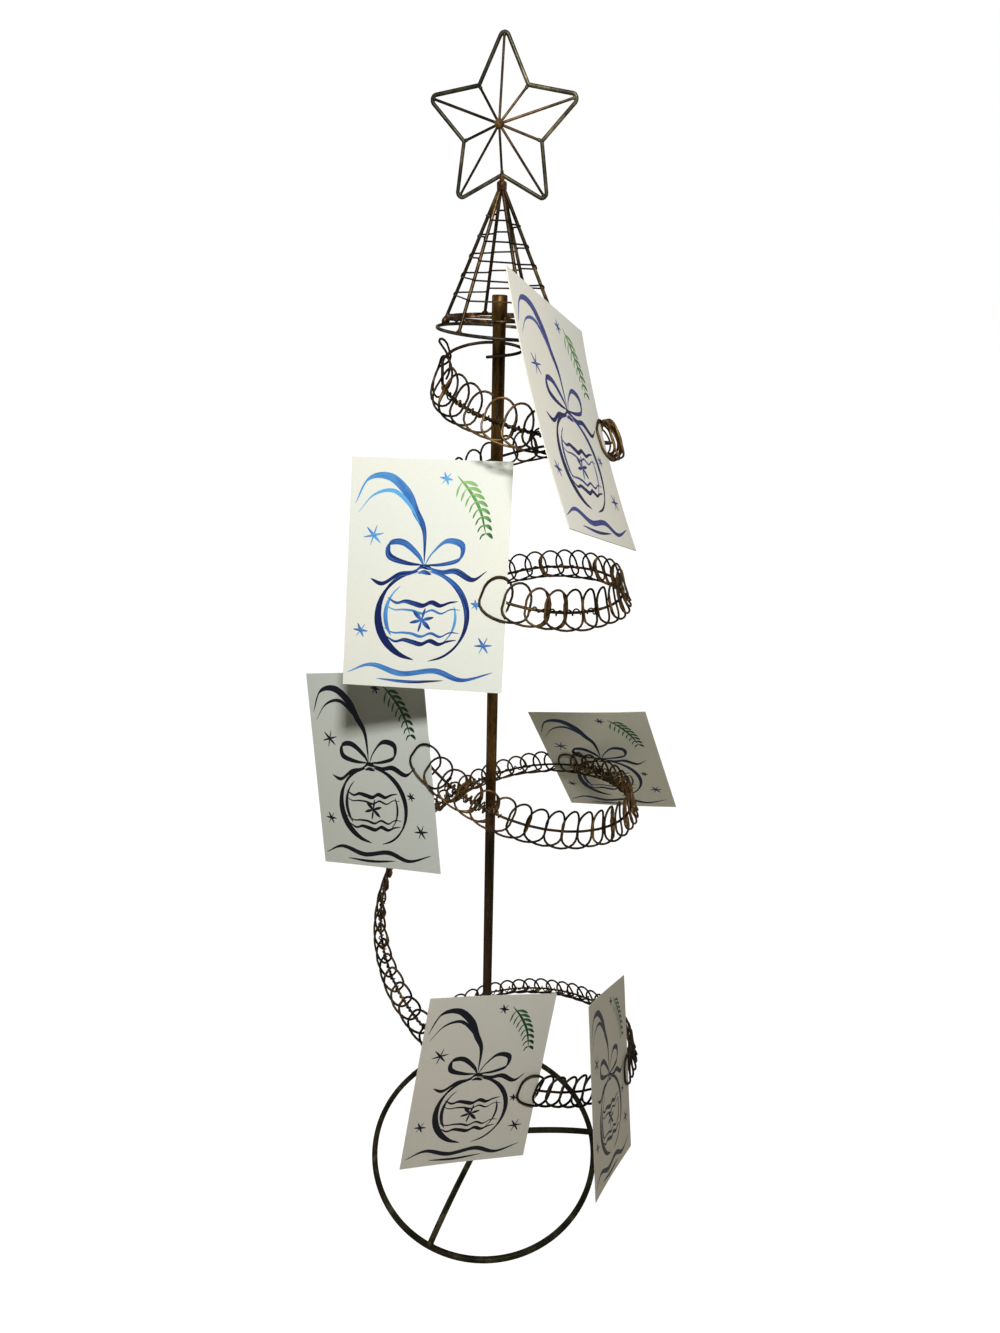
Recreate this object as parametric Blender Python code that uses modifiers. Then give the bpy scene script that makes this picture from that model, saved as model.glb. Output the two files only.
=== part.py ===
# Christmas card stand: a descending spiral of wire loops round a pole on a ring base,
# under a wire cone and a five-pointed wire star, with six cards held in the loops.
# Metres, +Z up, the front is -Y. The origin is on the floor below the middle of the whole stand.

import math

import bmesh
import bpy
import numpy as np
from mathutils import Matrix, Vector

# Clearance between two pieces that touch on the real stand
GAP = 0.0003

# The pole stands a little off the origin, since the cards and the spiral reach further one way
POLE_X = -0.0187
POLE_Y = 0.0188

# Base: a round wire ring with three arched spokes lying on it
BASE_RING_RADIUS = 0.1155
BASE_WIRE = 0.0060
SPOKE_WIRE = 0.0058
SPOKE_COUNT = 3
SPOKE_FIRST_AZIMUTH = 3.0
SPOKE_RISE = 0.0105
SPOKE_OVERHANG = 0.0018

# Pole: a lower and an upper tube on a common spigot, standing in a socket
POLE_LOWER_DIAMETER = 0.0082
POLE_UPPER_DIAMETER = 0.0084
POLE_BORE = 0.0052
POLE_JOINT_HEIGHT = 0.415
POLE_TOP_HEIGHT = 0.8286
SPIGOT_REACH = 0.025
SOCKET_WALL = 0.0020
SOCKET_FLOOR = 0.0020
SOCKET_BOTTOM = 0.0140
SOCKET_HEIGHT = 0.0260

# Topper: cap, arms, cone and star
CAP_WALL = 0.0004
CAP_TOP = 0.0008
CAP_DEPTH = 0.0165
CONE_RING_BELOW_POLE_TOP = 0.0204
CONE_RING_RADIUS = 0.0394
CONE_RING_WIRE = 0.0021
CONE_RING_TILT = 3.5
CONE_RING_HIGH_SIDE = 164.0
CONE_HEIGHT = 0.0818
CONE_RING_HEIGHT = POLE_TOP_HEIGHT - CONE_RING_BELOW_POLE_TOP
CONE_APEX_HEIGHT = CONE_RING_HEIGHT + CONE_HEIGHT
CARRIER_ABOVE_RING = 0.0083
CARRIER_HEIGHT = CONE_RING_HEIGHT + CARRIER_ABOVE_RING
CARRIER_WIRE = 0.0018
ARM_COUNT = 3
ARM_FIRST_AZIMUTH = 50.0
RIB_TOP_AZIMUTHS = (50.0, 110.0, 170.0, 230.0, 290.0, 350.0)
RIB_FOOT_AZIMUTHS = (50.0, 106.0, 156.0, 230.0, 292.0, 352.0)
SHORT_RIBS = 2
RIB_WIRE = 0.0020
WINDING_WIRE = 0.0010
WINDING_PITCH = 0.0110
WINDING_TURNS = 5
WINDING_BELOW_APEX = 0.0130
WINDING_CLEAR = 0.0006
FERRULE_RADIUS = 0.0034
FERRULE_HEIGHT = 0.0070
FERRULE_SLOPE = 0.55
STAR_TIP_RADIUS = 0.0449
STAR_NOTCH_RADIUS = 0.0243
STAR_WIRE = 0.0023
STAR_TIP_ROUNDING = 0.0026
STAR_NOTCH_ROUNDING = 0.0014
STAR_TURN = -14.0
STAR_SPOKE_WIRE = 0.0015
STAR_HUB_RADIUS = 0.0026
STAR_HUB_RAISE = 0.0100

# Spiral: spine wire and looped wire. Its heights at each half turn are shares of the pole's height.
SPIRAL_OFFSET = 0.0168
SPIRAL_TOP_RADIUS = 0.052
SPIRAL_BOTTOM_RADIUS = 0.132
SPIRAL_FLARE = 1.4
SPIRAL_FIRST_ANGLE = 90.0
SPIRAL_SHARES = (0.9643, 0.9136, 0.8677, 0.7832, 0.7434, 0.5962, 0.4888, 0.3053, 0.0990, 0.0241)
HOOK_BELOW_POLE_TOP = 0.0351
SPIRAL_FROM = 192.0
SPIRAL_TO = 1554.0
SPIRAL_STEP = 9.0
SPIRAL_LEAN_TOP = 24.0
SPIRAL_LEAN_BOTTOM = 13.0
SPINE_WIRE = 0.0018
LOOP_WIRE = 0.0012
LOOP_COUNT = 84
LOOP_POINTS = 8
LOOP_WIDTH = 0.0220
LOOP_HEIGHT = 0.0262
LOOP_RISE = 0.0015
LOOP_DEPTH = 0.0021
LOOP_CUP = 0.0022
LOOP_LEAVES = 0.0625
LOOP_BULGE = 0.0021
LOOPS_START = 0.0875
LOOPS_END = 0.0605

# Cards
CARD_WIDTH = 0.105
CARD_HEIGHT = 0.148
CARD_THICKNESS = 0.0006
CARD_FLAT = 0.040
CARD_SIDE_MARGIN = 0.0015

BRONZE = ((0.115, 0.070, 0.040), 0.42, 0.85)
BRASSY = ((0.230, 0.145, 0.060), 0.38, 0.85)
COPPER = ((0.330, 0.150, 0.070), 0.50, 0.80)
DARK_BRONZE = ((0.055, 0.045, 0.030), 0.40, 0.85)
PAPER = ((0.780, 0.770, 0.720), 0.75, 0.0)

# The spine's top end is hooked round the pole, front to back, and leads to the spiral
HOOK_CLEAR = (POLE_UPPER_DIAMETER + SPINE_WIRE) / 2 + GAP
HOOK_HEIGHT = POLE_TOP_HEIGHT - HOOK_BELOW_POLE_TOP
LEAD_IN = (
    (-0.0075, -HOOK_CLEAR, HOOK_HEIGHT),
    (0.0000, -HOOK_CLEAR, HOOK_HEIGHT + 0.0007),
    (0.0080, -HOOK_CLEAR - 0.0001, HOOK_HEIGHT + 0.0016),
    (0.0140, -0.0036, HOOK_HEIGHT + 0.0029),
    (0.0162, 0.0000, HOOK_HEIGHT + 0.0041),
    (0.0140, 0.0036, HOOK_HEIGHT + 0.0055),
    (0.0080, HOOK_CLEAR + 0.0001, HOOK_HEIGHT + 0.0069),
    (0.0000, HOOK_CLEAR, HOOK_HEIGHT + 0.0079),
    (-0.0100, 0.0062, HOOK_HEIGHT + 0.0077),
    (-0.0200, 0.0076, HOOK_HEIGHT + 0.0059),
    (-0.0290, 0.0068, HOOK_HEIGHT + 0.0029),
    (-0.0362, 0.0016, HOOK_HEIGHT - 0.0023),
)

# The spine's foot comes in from the last turn and lies on the base ring
RING_TOP = BASE_WIRE + SPINE_WIRE / 2 + GAP
LEAD_OUT = (
    (-0.0540, 0.1165, 0.0530),
    (-0.0625, 0.1100, 0.0350),
    (-0.0685, 0.1030, 0.0190),
    (-0.0722, 0.0962, 0.0100),
)
FOOT_AZIMUTHS = (129.0, 132.0, 135.0)


def polar(radius, azimuth, height):
    angle = math.radians(azimuth)
    return (radius * math.cos(angle), radius * math.sin(angle), height)


def unit(vector):
    return vector / np.linalg.norm(vector, axis=-1, keepdims=True)


# Each card: the loop that grips it and that loop's share of the spine's length, the way the
# card's outer face looks, its lean and roll in degrees, the point of the card that lies at that
# loop, measured from the card's middle towards the gripped edge and up, how far the free side
# bows outwards, and how far the sheet curls outwards half a card's height from that point.
CARDS = (
    {"name": "card_1", "loop": 6, "share": 0.0984, "facing": 338.4, "lean": 26.3, "roll": 24.6,
     "grip": (0.0510, -0.0009), "bow": 0.0005, "curl": 0.0030},
    {"name": "card_2", "loop": 18, "share": 0.2384, "facing": 261.0, "lean": 23.7, "roll": -1.0,
     "grip": (0.0460, -0.0137), "bow": 0.0010, "curl": 0.0},
    {"name": "card_3", "loop": 36, "share": 0.4376, "facing": 239.3, "lean": 15.3, "roll": -14.6,
     "grip": (0.0470, 0.0087), "bow": 0.0010, "curl": 0.0},
    {"name": "card_4", "loop": 49, "share": 0.5827, "facing": 72.6, "lean": 24.6, "roll": 13.6,
     "grip": (0.0475, -0.0032), "bow": 0.0015, "curl": 0.0},
    {"name": "card_5", "loop": 66, "share": 0.7688, "facing": 287.2, "lean": 12.5, "roll": 13.8,
     "grip": (0.0469, -0.0132), "bow": 0.0015, "curl": 0.0},
    {"name": "card_6", "loop": 71, "share": 0.8194, "facing": 337.6, "lean": 15.5, "roll": 29.6,
     "grip": (0.0485, -0.0086), "bow": 0.0020, "curl": 0.0},
)


def clear_scene():
    for item in list(bpy.data.objects):
        bpy.data.objects.remove(item, do_unlink=True)


def make_collection(name):
    collection = bpy.data.collections.new(name)
    bpy.context.scene.collection.children.link(collection)
    return collection


def make_material(name, finish):
    colour, roughness, metallic = finish
    material = bpy.data.materials.new(name)
    material.use_nodes = True
    shader = material.node_tree.nodes["Principled BSDF"]
    shader.inputs["Base Color"].default_value = (*colour, 1.0)
    shader.inputs["Roughness"].default_value = roughness
    shader.inputs["Metallic"].default_value = metallic
    material.diffuse_color = (*colour, 1.0)
    return material


def place(name, data, finish, location=(0, 0, 0), turn=0.0):
    item = bpy.data.objects.new(name, data)
    item.location = location
    item.rotation_euler = (0.0, 0.0, math.radians(turn))
    data.materials.append(make_material(name + "_finish", finish))
    STAND.objects.link(item)
    return item


# A round wire along points, with filled ends unless it is closed
def wire(name, points, diameter, finish, resolution=2, closed=False, location=(0, 0, 0), turn=0.0):
    curve = bpy.data.curves.new(name, "CURVE")
    curve.dimensions = "3D"
    curve.bevel_depth = diameter / 2
    curve.bevel_resolution = resolution
    curve.use_fill_caps = not closed
    spline = curve.splines.new("POLY")
    spline.points.add(len(points) - 1)
    for point, where in zip(spline.points, points):
        point.co = (*where, 1.0)
    spline.use_cyclic_u = closed
    return place(name, curve, finish, location, turn)


# A profile of (radius, height) pairs turned round the Z axis, its outer side listed downwards
def turned(name, profile, steps, finish, location=(0, 0, 0), closed=True):
    mesh = bpy.data.meshes.new(name)
    count = len(profile)
    edges = [(i, i + 1) for i in range(count - 1)]
    if closed:
        edges.append((count - 1, 0))
    mesh.from_pydata([(radius, 0.0, height) for radius, height in profile], edges, [])
    item = place(name, mesh, finish, location)
    screw = item.modifiers.new("Turn", "SCREW")
    screw.steps = steps
    screw.render_steps = steps
    screw.use_merge_vertices = True
    screw.merge_threshold = 0.00001
    screw.use_smooth_shade = True
    return item


# A wire ring: its round section has a flat side at the bottom
def ring(name, radius, diameter, height, finish, steps=48, sides=10):
    section = []
    for i in range(sides):
        angle = math.pi / 2 - math.pi / sides - 2 * math.pi * i / sides
        section.append((radius + diameter / 2 * math.cos(angle), diameter / 2 * math.sin(angle)))
    return turned(name, section, steps, finish, (0, 0, height))


def tube_profile(outer, inner, bottom, top):
    return [(inner, top), (outer, top), (outer, bottom), (inner, bottom)]


def build_base():
    ring_height = BASE_WIRE / 2 * math.cos(math.pi / 10)
    ring("base_ring", BASE_RING_RADIUS, BASE_WIRE, ring_height, BRONZE)
    seat = 2 * ring_height + SPOKE_WIRE / 2 + GAP
    inner = POLE_LOWER_DIAMETER / 2 + GAP + SOCKET_WALL + GAP
    outer = BASE_RING_RADIUS + SPOKE_OVERHANG
    for number in range(SPOKE_COUNT):
        points = []
        for share in np.linspace(0.0, 1.0, 11):
            reach = inner + (outer - inner) * share
            fall = min(reach / BASE_RING_RADIUS, 1.0) ** 3
            points.append((reach, 0.0, seat + SPOKE_RISE * (1.0 - fall)))
        azimuth = SPOKE_FIRST_AZIMUTH + 360.0 / SPOKE_COUNT * number
        wire(f"base_spoke_{number + 1}", points, SPOKE_WIRE, DARK_BRONZE, turn=azimuth)


def build_pole():
    bore = POLE_LOWER_DIAMETER / 2 + GAP
    wall = bore + SOCKET_WALL
    cup_top = SOCKET_BOTTOM + SOCKET_HEIGHT
    cup_floor = SOCKET_BOTTOM + SOCKET_FLOOR
    cup = [(0.0, cup_floor), (bore, cup_floor), (bore, cup_top), (wall, cup_top),
           (wall, SOCKET_BOTTOM), (0.0, SOCKET_BOTTOM)]
    turned("pole_socket", cup, 24, DARK_BRONZE, closed=False)
    lower = tube_profile(POLE_LOWER_DIAMETER / 2, POLE_BORE / 2, cup_floor + GAP, POLE_JOINT_HEIGHT)
    turned("pole_lower", lower, 24, BRONZE)
    upper = tube_profile(POLE_UPPER_DIAMETER / 2, POLE_BORE / 2, POLE_JOINT_HEIGHT + GAP,
                         POLE_TOP_HEIGHT)
    turned("pole_upper", upper, 24, BRASSY)
    pin = POLE_BORE / 2 - GAP
    top, bottom = POLE_JOINT_HEIGHT + SPIGOT_REACH, POLE_JOINT_HEIGHT - SPIGOT_REACH
    turned("pole_spigot", [(0.0, top), (pin, top), (pin, bottom), (0.0, bottom)], 16, BRONZE,
           closed=False)


def build_topper():
    cap_inner = POLE_UPPER_DIAMETER / 2 + GAP
    cap_outer = cap_inner + CAP_WALL
    cap_ceiling = POLE_TOP_HEIGHT + GAP
    cap_mouth = cap_ceiling + CAP_TOP - CAP_DEPTH
    cap = [(0.0, cap_ceiling + CAP_TOP), (cap_outer, cap_ceiling + CAP_TOP), (cap_outer, cap_mouth),
           (cap_inner, cap_mouth), (cap_inner, cap_ceiling), (0.0, cap_ceiling)]
    turned("topper_cap", cap, 24, BRASSY, closed=False)

    # The lower ring hangs a little out of level, higher at the back left
    hoop = ring("cone_ring", CONE_RING_RADIUS, CONE_RING_WIRE, CONE_RING_HEIGHT, BRONZE, 36, 6)
    hinge = Vector(polar(1.0, CONE_RING_HIGH_SIDE - 90.0, 0.0))
    hoop.rotation_euler = Matrix.Rotation(math.radians(CONE_RING_TILT), 3, hinge).to_euler()
    ring_rise = CONE_RING_RADIUS * math.tan(math.radians(CONE_RING_TILT))

    def ring_height(azimuth):
        return CONE_RING_HEIGHT + ring_rise * math.cos(math.radians(azimuth - CONE_RING_HIGH_SIDE))

    # The carrier ring is level and lies inside the long ribs, where they are steepest
    carrier_depth = CONE_APEX_HEIGHT - CARRIER_HEIGHT
    steepest = CONE_RING_RADIUS / (CONE_APEX_HEIGHT - CONE_RING_HEIGHT + ring_rise)
    beside = ((RIB_WIRE + CARRIER_WIRE) / 2 + GAP) * math.hypot(1.0, steepest)
    carrier = carrier_depth * steepest - beside
    ring("cone_carrier_ring", carrier, CARRIER_WIRE, CARRIER_HEIGHT, COPPER, 36, 6)
    arm_from = cap_outer + GAP
    arm_to = carrier - CARRIER_WIRE / 2 - GAP
    for number in range(ARM_COUNT):
        azimuth = ARM_FIRST_AZIMUTH + 360.0 / ARM_COUNT * number
        wire(f"cone_arm_{number + 1}", [(arm_from, 0, CARRIER_HEIGHT), (arm_to, 0, CARRIER_HEIGHT)],
             CARRIER_WIRE, COPPER, turn=azimuth)

    star_middle = CONE_APEX_HEIGHT + STAR_WIRE / 2 + GAP + STAR_NOTCH_RADIUS + 0.003
    ferrule_top = star_middle - STAR_NOTCH_RADIUS - STAR_WIRE / 2 - 2 * GAP
    ferrule_bottom = ferrule_top - FERRULE_HEIGHT
    rib_top = ferrule_bottom - GAP
    slope = CONE_RING_RADIUS / (CONE_APEX_HEIGHT - CONE_RING_HEIGHT)

    # Ribs spread evenly under the ferrule. The short ones, at the back, end on the carrier ring,
    # and the long ones on the lower ring.
    ribs = []
    for number, azimuth in enumerate(RIB_FOOT_AZIMUTHS):
        top = np.array(polar((CONE_APEX_HEIGHT - rib_top) * slope, RIB_TOP_AZIMUTHS[number], rib_top))
        if number < SHORT_RIBS:
            foot, under = np.array(polar(carrier, azimuth, CARRIER_HEIGHT)), CARRIER_WIRE
        else:
            foot, under = np.array(polar(CONE_RING_RADIUS, azimuth, ring_height(azimuth))), CONE_RING_WIRE
        ends = [top, foot + unit(top - foot) * (under / 2 + GAP)]
        wire(f"cone_rib_{number + 1}", ends, RIB_WIRE, BRONZE)
        ribs.append((top, foot))

    shoulder = ferrule_top - FERRULE_RADIUS * FERRULE_SLOPE
    ferrule = [(0.0, ferrule_top), (FERRULE_RADIUS, shoulder), (FERRULE_RADIUS, ferrule_bottom + 0.0012),
               (FERRULE_RADIUS * 0.85, ferrule_bottom), (0.0, ferrule_bottom)]
    turned("cone_ferrule", ferrule, 20, COPPER, closed=False)

    # Thin wire wound round the outside of the ribs runs straight from rib to rib
    stand_off = ((RIB_WIRE + WINDING_WIRE) / 2 + WINDING_CLEAR) * math.hypot(1.0, slope)
    points = []
    for corner in range(WINDING_TURNS * len(ribs) + 1):
        height = CONE_APEX_HEIGHT - WINDING_BELOW_APEX - WINDING_PITCH * corner / len(ribs)
        top, foot = ribs[corner % len(ribs)]
        on_rib = top + (foot - top) * (top[2] - height) / (top[2] - foot[2])
        points.append(on_rib + unit(on_rib * (1, 1, 0)) * stand_off)
    wire("cone_winding", points, WINDING_WIRE, BRONZE, 1)

    build_star(star_middle)


# The corners of a polygon replaced by arcs of the given radii
def rounded(corners, radii, steps):
    points = []
    count = len(corners)
    for i, corner in enumerate(corners):
        before = unit(corners[i - 1] - corner)
        after = unit(corners[(i + 1) % count] - corner)
        half = math.acos(float(np.clip(np.dot(before, after), -1, 1))) / 2
        middle = corner + unit(before + after) * radii[i] / math.sin(half)
        start = corner + before * radii[i] / math.tan(half) - middle
        end = corner + after * radii[i] / math.tan(half) - middle
        for share in np.linspace(0, 1, steps):
            points.append(middle + unit(start * (1 - share) + end * share) * radii[i])
    return points


def build_star(middle_height):
    corners, radii = [], []
    # A rounded tip falls short of its sharp corner, so the sharp corner is set further out
    edge = np.array([STAR_TIP_RADIUS - STAR_NOTCH_RADIUS * math.cos(math.radians(36)),
                     STAR_NOTCH_RADIUS * math.sin(math.radians(36))])
    half_tip = math.atan2(edge[1], edge[0])
    cut = STAR_TIP_ROUNDING * (1 / math.sin(half_tip) - 1)
    for i in range(10):
        reach = STAR_NOTCH_RADIUS if i % 2 else STAR_TIP_RADIUS + cut
        angle = math.radians(36 * i)
        corners.append(np.array([reach * math.sin(angle), 0.0, reach * math.cos(angle)]))
        radii.append(STAR_NOTCH_ROUNDING if i % 2 else STAR_TIP_ROUNDING)
    place_at = (0.0, 0.0, middle_height)
    wire("star_outline", rounded(corners, radii, 5), STAR_WIRE, BRASSY, 1, True, place_at, STAR_TURN)

    hub = np.array([0.0, -STAR_HUB_RAISE, 0.0])
    stop = STAR_WIRE / 2 + GAP + STAR_SPOKE_WIRE / 4
    for i in range(10):
        reach = STAR_NOTCH_RADIUS if i % 2 else STAR_TIP_RADIUS
        angle = math.radians(36 * i)
        tip = np.array([reach * math.sin(angle), 0.0, reach * math.cos(angle)])
        along = unit(tip - hub)
        ends = [hub + along * (STAR_HUB_RADIUS + GAP), tip - along * stop]
        wire(f"star_spoke_{i + 1}", ends, STAR_SPOKE_WIRE, BRONZE, 1, location=place_at, turn=STAR_TURN)

    ball = bmesh.new()
    bmesh.ops.create_uvsphere(ball, u_segments=12, v_segments=8, radius=STAR_HUB_RADIUS)
    mesh = bpy.data.meshes.new("star_hub")
    ball.to_mesh(mesh)
    ball.free()
    hub_at = Matrix.Rotation(math.radians(STAR_TURN), 3, "Z") @ Vector(hub)
    place("star_hub", mesh, COPPER, (hub_at.x, hub_at.y, middle_height + hub_at.z))


# Heights between the half-turn heights follow a smooth curve through them
def spiral_height(angle):
    heights = SPIRAL_SHARES
    place_in = (angle - SPIRAL_FIRST_ANGLE) / 180.0
    i = int(min(max(math.floor(place_in), 0), len(heights) - 2))
    share = place_in - i
    before = heights[max(i - 1, 0)]
    low, high = heights[i], heights[i + 1]
    after = heights[min(i + 2, len(heights) - 1)]
    rise = (high - before) / 2
    fall = (after - low) / 2
    square, cube = share ** 2, share ** 3
    return ((2 * cube - 3 * square + 1) * low + (cube - 2 * square + share) * rise
            + (3 * square - 2 * cube) * high + (cube - square) * fall)


def spiral_point(angle):
    turns = (angle - SPIRAL_FIRST_ANGLE) / 1440.0
    radius = SPIRAL_TOP_RADIUS + (SPIRAL_BOTTOM_RADIUS - SPIRAL_TOP_RADIUS) * turns ** SPIRAL_FLARE
    x, y, z = polar(radius, angle, POLE_TOP_HEIGHT * spiral_height(angle))
    return (x + SPIRAL_OFFSET, y, z)


def spine_route():
    coil = [spiral_point(a) for a in np.arange(SPIRAL_FROM, SPIRAL_TO + 0.1, SPIRAL_STEP)]
    foot = [polar(BASE_RING_RADIUS, a, RING_TOP) for a in FOOT_AZIMUTHS]
    return np.array([*LEAD_IN, *coil, *LEAD_OUT, *foot])


# The spine's place and its three directions at given lengths along it: along, up and outwards
def frames(route, lengths):
    steps = np.linalg.norm(np.diff(route, axis=0), axis=1)
    stations = np.concatenate([[0.0], np.cumsum(steps)])
    tangents = unit(np.gradient(route, stations, axis=0))
    middle = np.stack([np.interp(lengths, stations, route[:, i]) for i in range(3)], 1)
    along = unit(np.stack([np.interp(lengths, stations, tangents[:, i]) for i in range(3)], 1))
    radial = middle * (1, 1, 0) - (SPIRAL_OFFSET, 0, 0)
    radial = unit(radial)
    share = np.clip(np.asarray(lengths) / stations[-1], 0, 1)[:, None]
    lean = np.radians(SPIRAL_LEAN_TOP + (SPIRAL_LEAN_BOTTOM - SPIRAL_LEAN_TOP) * share)
    up = np.cos(lean) * np.array([0.0, 0.0, 1.0]) - np.sin(lean) * radial
    outwards = unit(np.cross(along, up))
    return middle, along, np.cross(outwards, along), outwards


# Where each loop's middle lies along the spine: evenly spread between the loops that grip cards
def loop_stations(total, places):
    loops = [0, *(card["loop"] for card in CARDS), LOOP_COUNT]
    lengths = [LOOPS_START, *(card["share"] * total for card in CARDS), total - LOOPS_END]
    return np.interp(places, loops, lengths)


# Points of the looped wire: each loop circles the spine and is tipped nearly flat along it.
# A loop that grips a card has one more point, where it leaves the spine's back for the card's front.
def loop_points(route, count, per_loop):
    total = np.linalg.norm(np.diff(route, axis=0), axis=1).sum()
    pitch = (total - LOOPS_START - LOOPS_END) / count
    half_width = (LOOP_WIDTH + pitch / 2) / 2
    extra = [card["loop"] + LOOP_LEAVES for card in CARDS]
    places = np.sort(np.concatenate([np.arange(count * per_loop + 1) / per_loop, extra]))
    turn = 2 * math.pi * places
    length = loop_stations(total, places - 0.25) + half_width * np.cos(turn)
    middle, _, up, outwards = frames(route, length)
    height = LOOP_HEIGHT / 2 * np.sin(turn) + LOOP_RISE
    depth = LOOP_CUP * np.sin(turn) ** 2 - LOOP_DEPTH * np.cos(turn)
    return middle + up * height[:, None] + outwards * depth[:, None], places


def card_axes(card):
    facing, lean, roll = (math.radians(card[key]) for key in ("facing", "lean", "roll"))
    outwards = np.array([math.cos(facing) * math.cos(lean), math.sin(facing) * math.cos(lean),
                         math.sin(lean)])
    level = unit(np.cross([0.0, 0.0, 1.0], outwards))
    upright = np.cross(outwards, level)
    along = level * math.cos(roll) - upright * math.sin(roll)
    return along, np.cross(outwards, along), outwards


# The curl grows as the square of the height over the point that is gripped
def card_curl(card, v):
    return card["curl"] * ((v - card["grip"][1]) / (CARD_HEIGHT / 2)) ** 2


# Distance from points to a card's outline, zero inside it, and how far they lie off its sheet
def card_reach(points, card, middle):
    along, up, outwards = card_axes(card)
    offset = points - middle
    u, v, w = offset @ along, offset @ up, offset @ outwards
    outside = np.hypot(np.maximum(np.abs(u) - CARD_WIDTH / 2, 0),
                       np.maximum(np.abs(v) - CARD_HEIGHT / 2, 0))
    return outside, w - card_curl(card, v)


def dense(points, parts):
    shares = np.arange(parts) / parts
    rows = points[:-1, None] * (1 - shares[:, None]) + points[1:, None] * shares[:, None]
    return np.concatenate([rows.reshape(-1, 3), points[-1:]])


# A card lies against the spine and the loops before its own, its loop and the next ones in front
def seat_card(card, route, loops, place_in):
    total = np.linalg.norm(np.diff(route, axis=0), axis=1).sum()
    at = frames(route, np.array([card["share"] * total]))[0][0]
    along, up, outwards = card_axes(card)
    middle = at - along * card["grip"][0] - up * card["grip"][1]
    behind = loops[: int(np.searchsorted(place_in, card["loop"] - 0.01))]
    rest = 0.0
    for points, diameter in ((dense(route, 6), SPINE_WIRE), (dense(behind, 4), LOOP_WIRE)):
        outside, w = card_reach(points, card, middle)
        near = (outside < CARD_SIDE_MARGIN) & (np.abs(w) < 0.02)
        rest = max(rest, (w[near] + diameter / 2).max(initial=0.0))
    return middle + outwards * (rest + GAP + CARD_THICKNESS / 2)


# The card's own loop passes in front of the card where it crosses it
def open_loop(loops, place_in, card, middle):
    outwards = card_axes(card)[2]
    w = card_reach(loops, card, middle)[1]
    past = place_in - card["loop"]
    clear = CARD_THICKNESS / 2 + GAP + LOOP_WIRE / 2 + np.where(past > 0.7, LOOP_BULGE, 0.0)
    over = (past > LOOP_LEAVES + 0.01) & (past < 0.8)
    lift = np.where(over, np.maximum(clear - w, 0.0), 0.0)
    return loops + outwards * lift[:, None]


def build_card(card, middle):
    along, up, outwards = card_axes(card)
    columns = [0.0, 0.25, 0.5, 0.75, 1.0]
    edge = CARD_WIDTH / 2
    points = [(edge, 0.0)]
    for share in columns:
        reach = CARD_FLAT + (CARD_WIDTH - CARD_FLAT) * share
        points.append((edge - reach, card["bow"] * share ** 2))
    rows = np.linspace(-CARD_HEIGHT / 2, CARD_HEIGHT / 2, 9 if card["curl"] else 2)
    count = len(rows)
    vertices = [(u, w + card_curl(card, v), v) for u, w in points for v in rows]
    faces = [(count * i + j, count * i + j + 1, count * (i + 1) + j + 1, count * (i + 1) + j)
             for i in range(len(points) - 1) for j in range(count - 1)]
    mesh = bpy.data.meshes.new(card["name"])
    mesh.from_pydata(vertices, [], faces)
    item = place(card["name"], mesh, PAPER)
    stance = Matrix([along, outwards, up]).transposed().to_4x4()
    item.matrix_world = Matrix.Translation(middle) @ stance
    shell = item.modifiers.new("Thickness", "SOLIDIFY")
    shell.thickness = CARD_THICKNESS
    shell.offset = 0.0
    return item


# Least gap of a tube to itself, between points further apart along it than a few diameters
def least_gap(points, diameter, parts):
    fine = dense(points, parts)
    station = np.concatenate([[0.0], np.cumsum(np.linalg.norm(np.diff(fine, axis=0), axis=1))])
    least = math.inf
    for start in range(0, len(fine), 400):
        block = slice(start, start + 400)
        far = np.abs(station[block, None] - station[None, :]) > 4 * diameter
        apart = np.linalg.norm(fine[block, None] - fine[None, :], axis=2)
        least = min(least, float(apart[far].min()))
    return least - diameter


def build_spiral():
    route = spine_route()
    wire("spiral_spine", route, SPINE_WIRE, BRONZE)
    loops, place_in = loop_points(route, LOOP_COUNT, LOOP_POINTS)
    for card in CARDS:
        middle = seat_card(card, route, loops, place_in)
        loops = open_loop(loops, place_in, card, middle)
        build_card(card, middle)
        print(card["name"], "middle", np.round(middle, 4), "slide", np.round(-card_axes(card)[0], 4))
    wire("spiral_loops", loops, LOOP_WIRE, BRONZE, 1)
    print("least gap of the looped wire to itself", round(least_gap(loops, LOOP_WIRE, 3), 5))


clear_scene()
STAND = make_collection("card_stand")
build_base()
build_pole()
build_topper()
build_spiral()
# Everything is drawn round the pole, then moved over to where the pole stands
for piece in STAND.objects:
    piece.location += Vector((POLE_X, POLE_Y, 0.0))
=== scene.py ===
# Looks for the card stand: bronze wires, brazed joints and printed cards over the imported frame.
# Everything is in metres in the frame's axes; the shapes are worked out round the pole first.

import bpy
import numpy as np
from mathutils import Matrix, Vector
from numpy import arange, array, concatenate, cos, cross, linspace, radians, sin, stack


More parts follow.
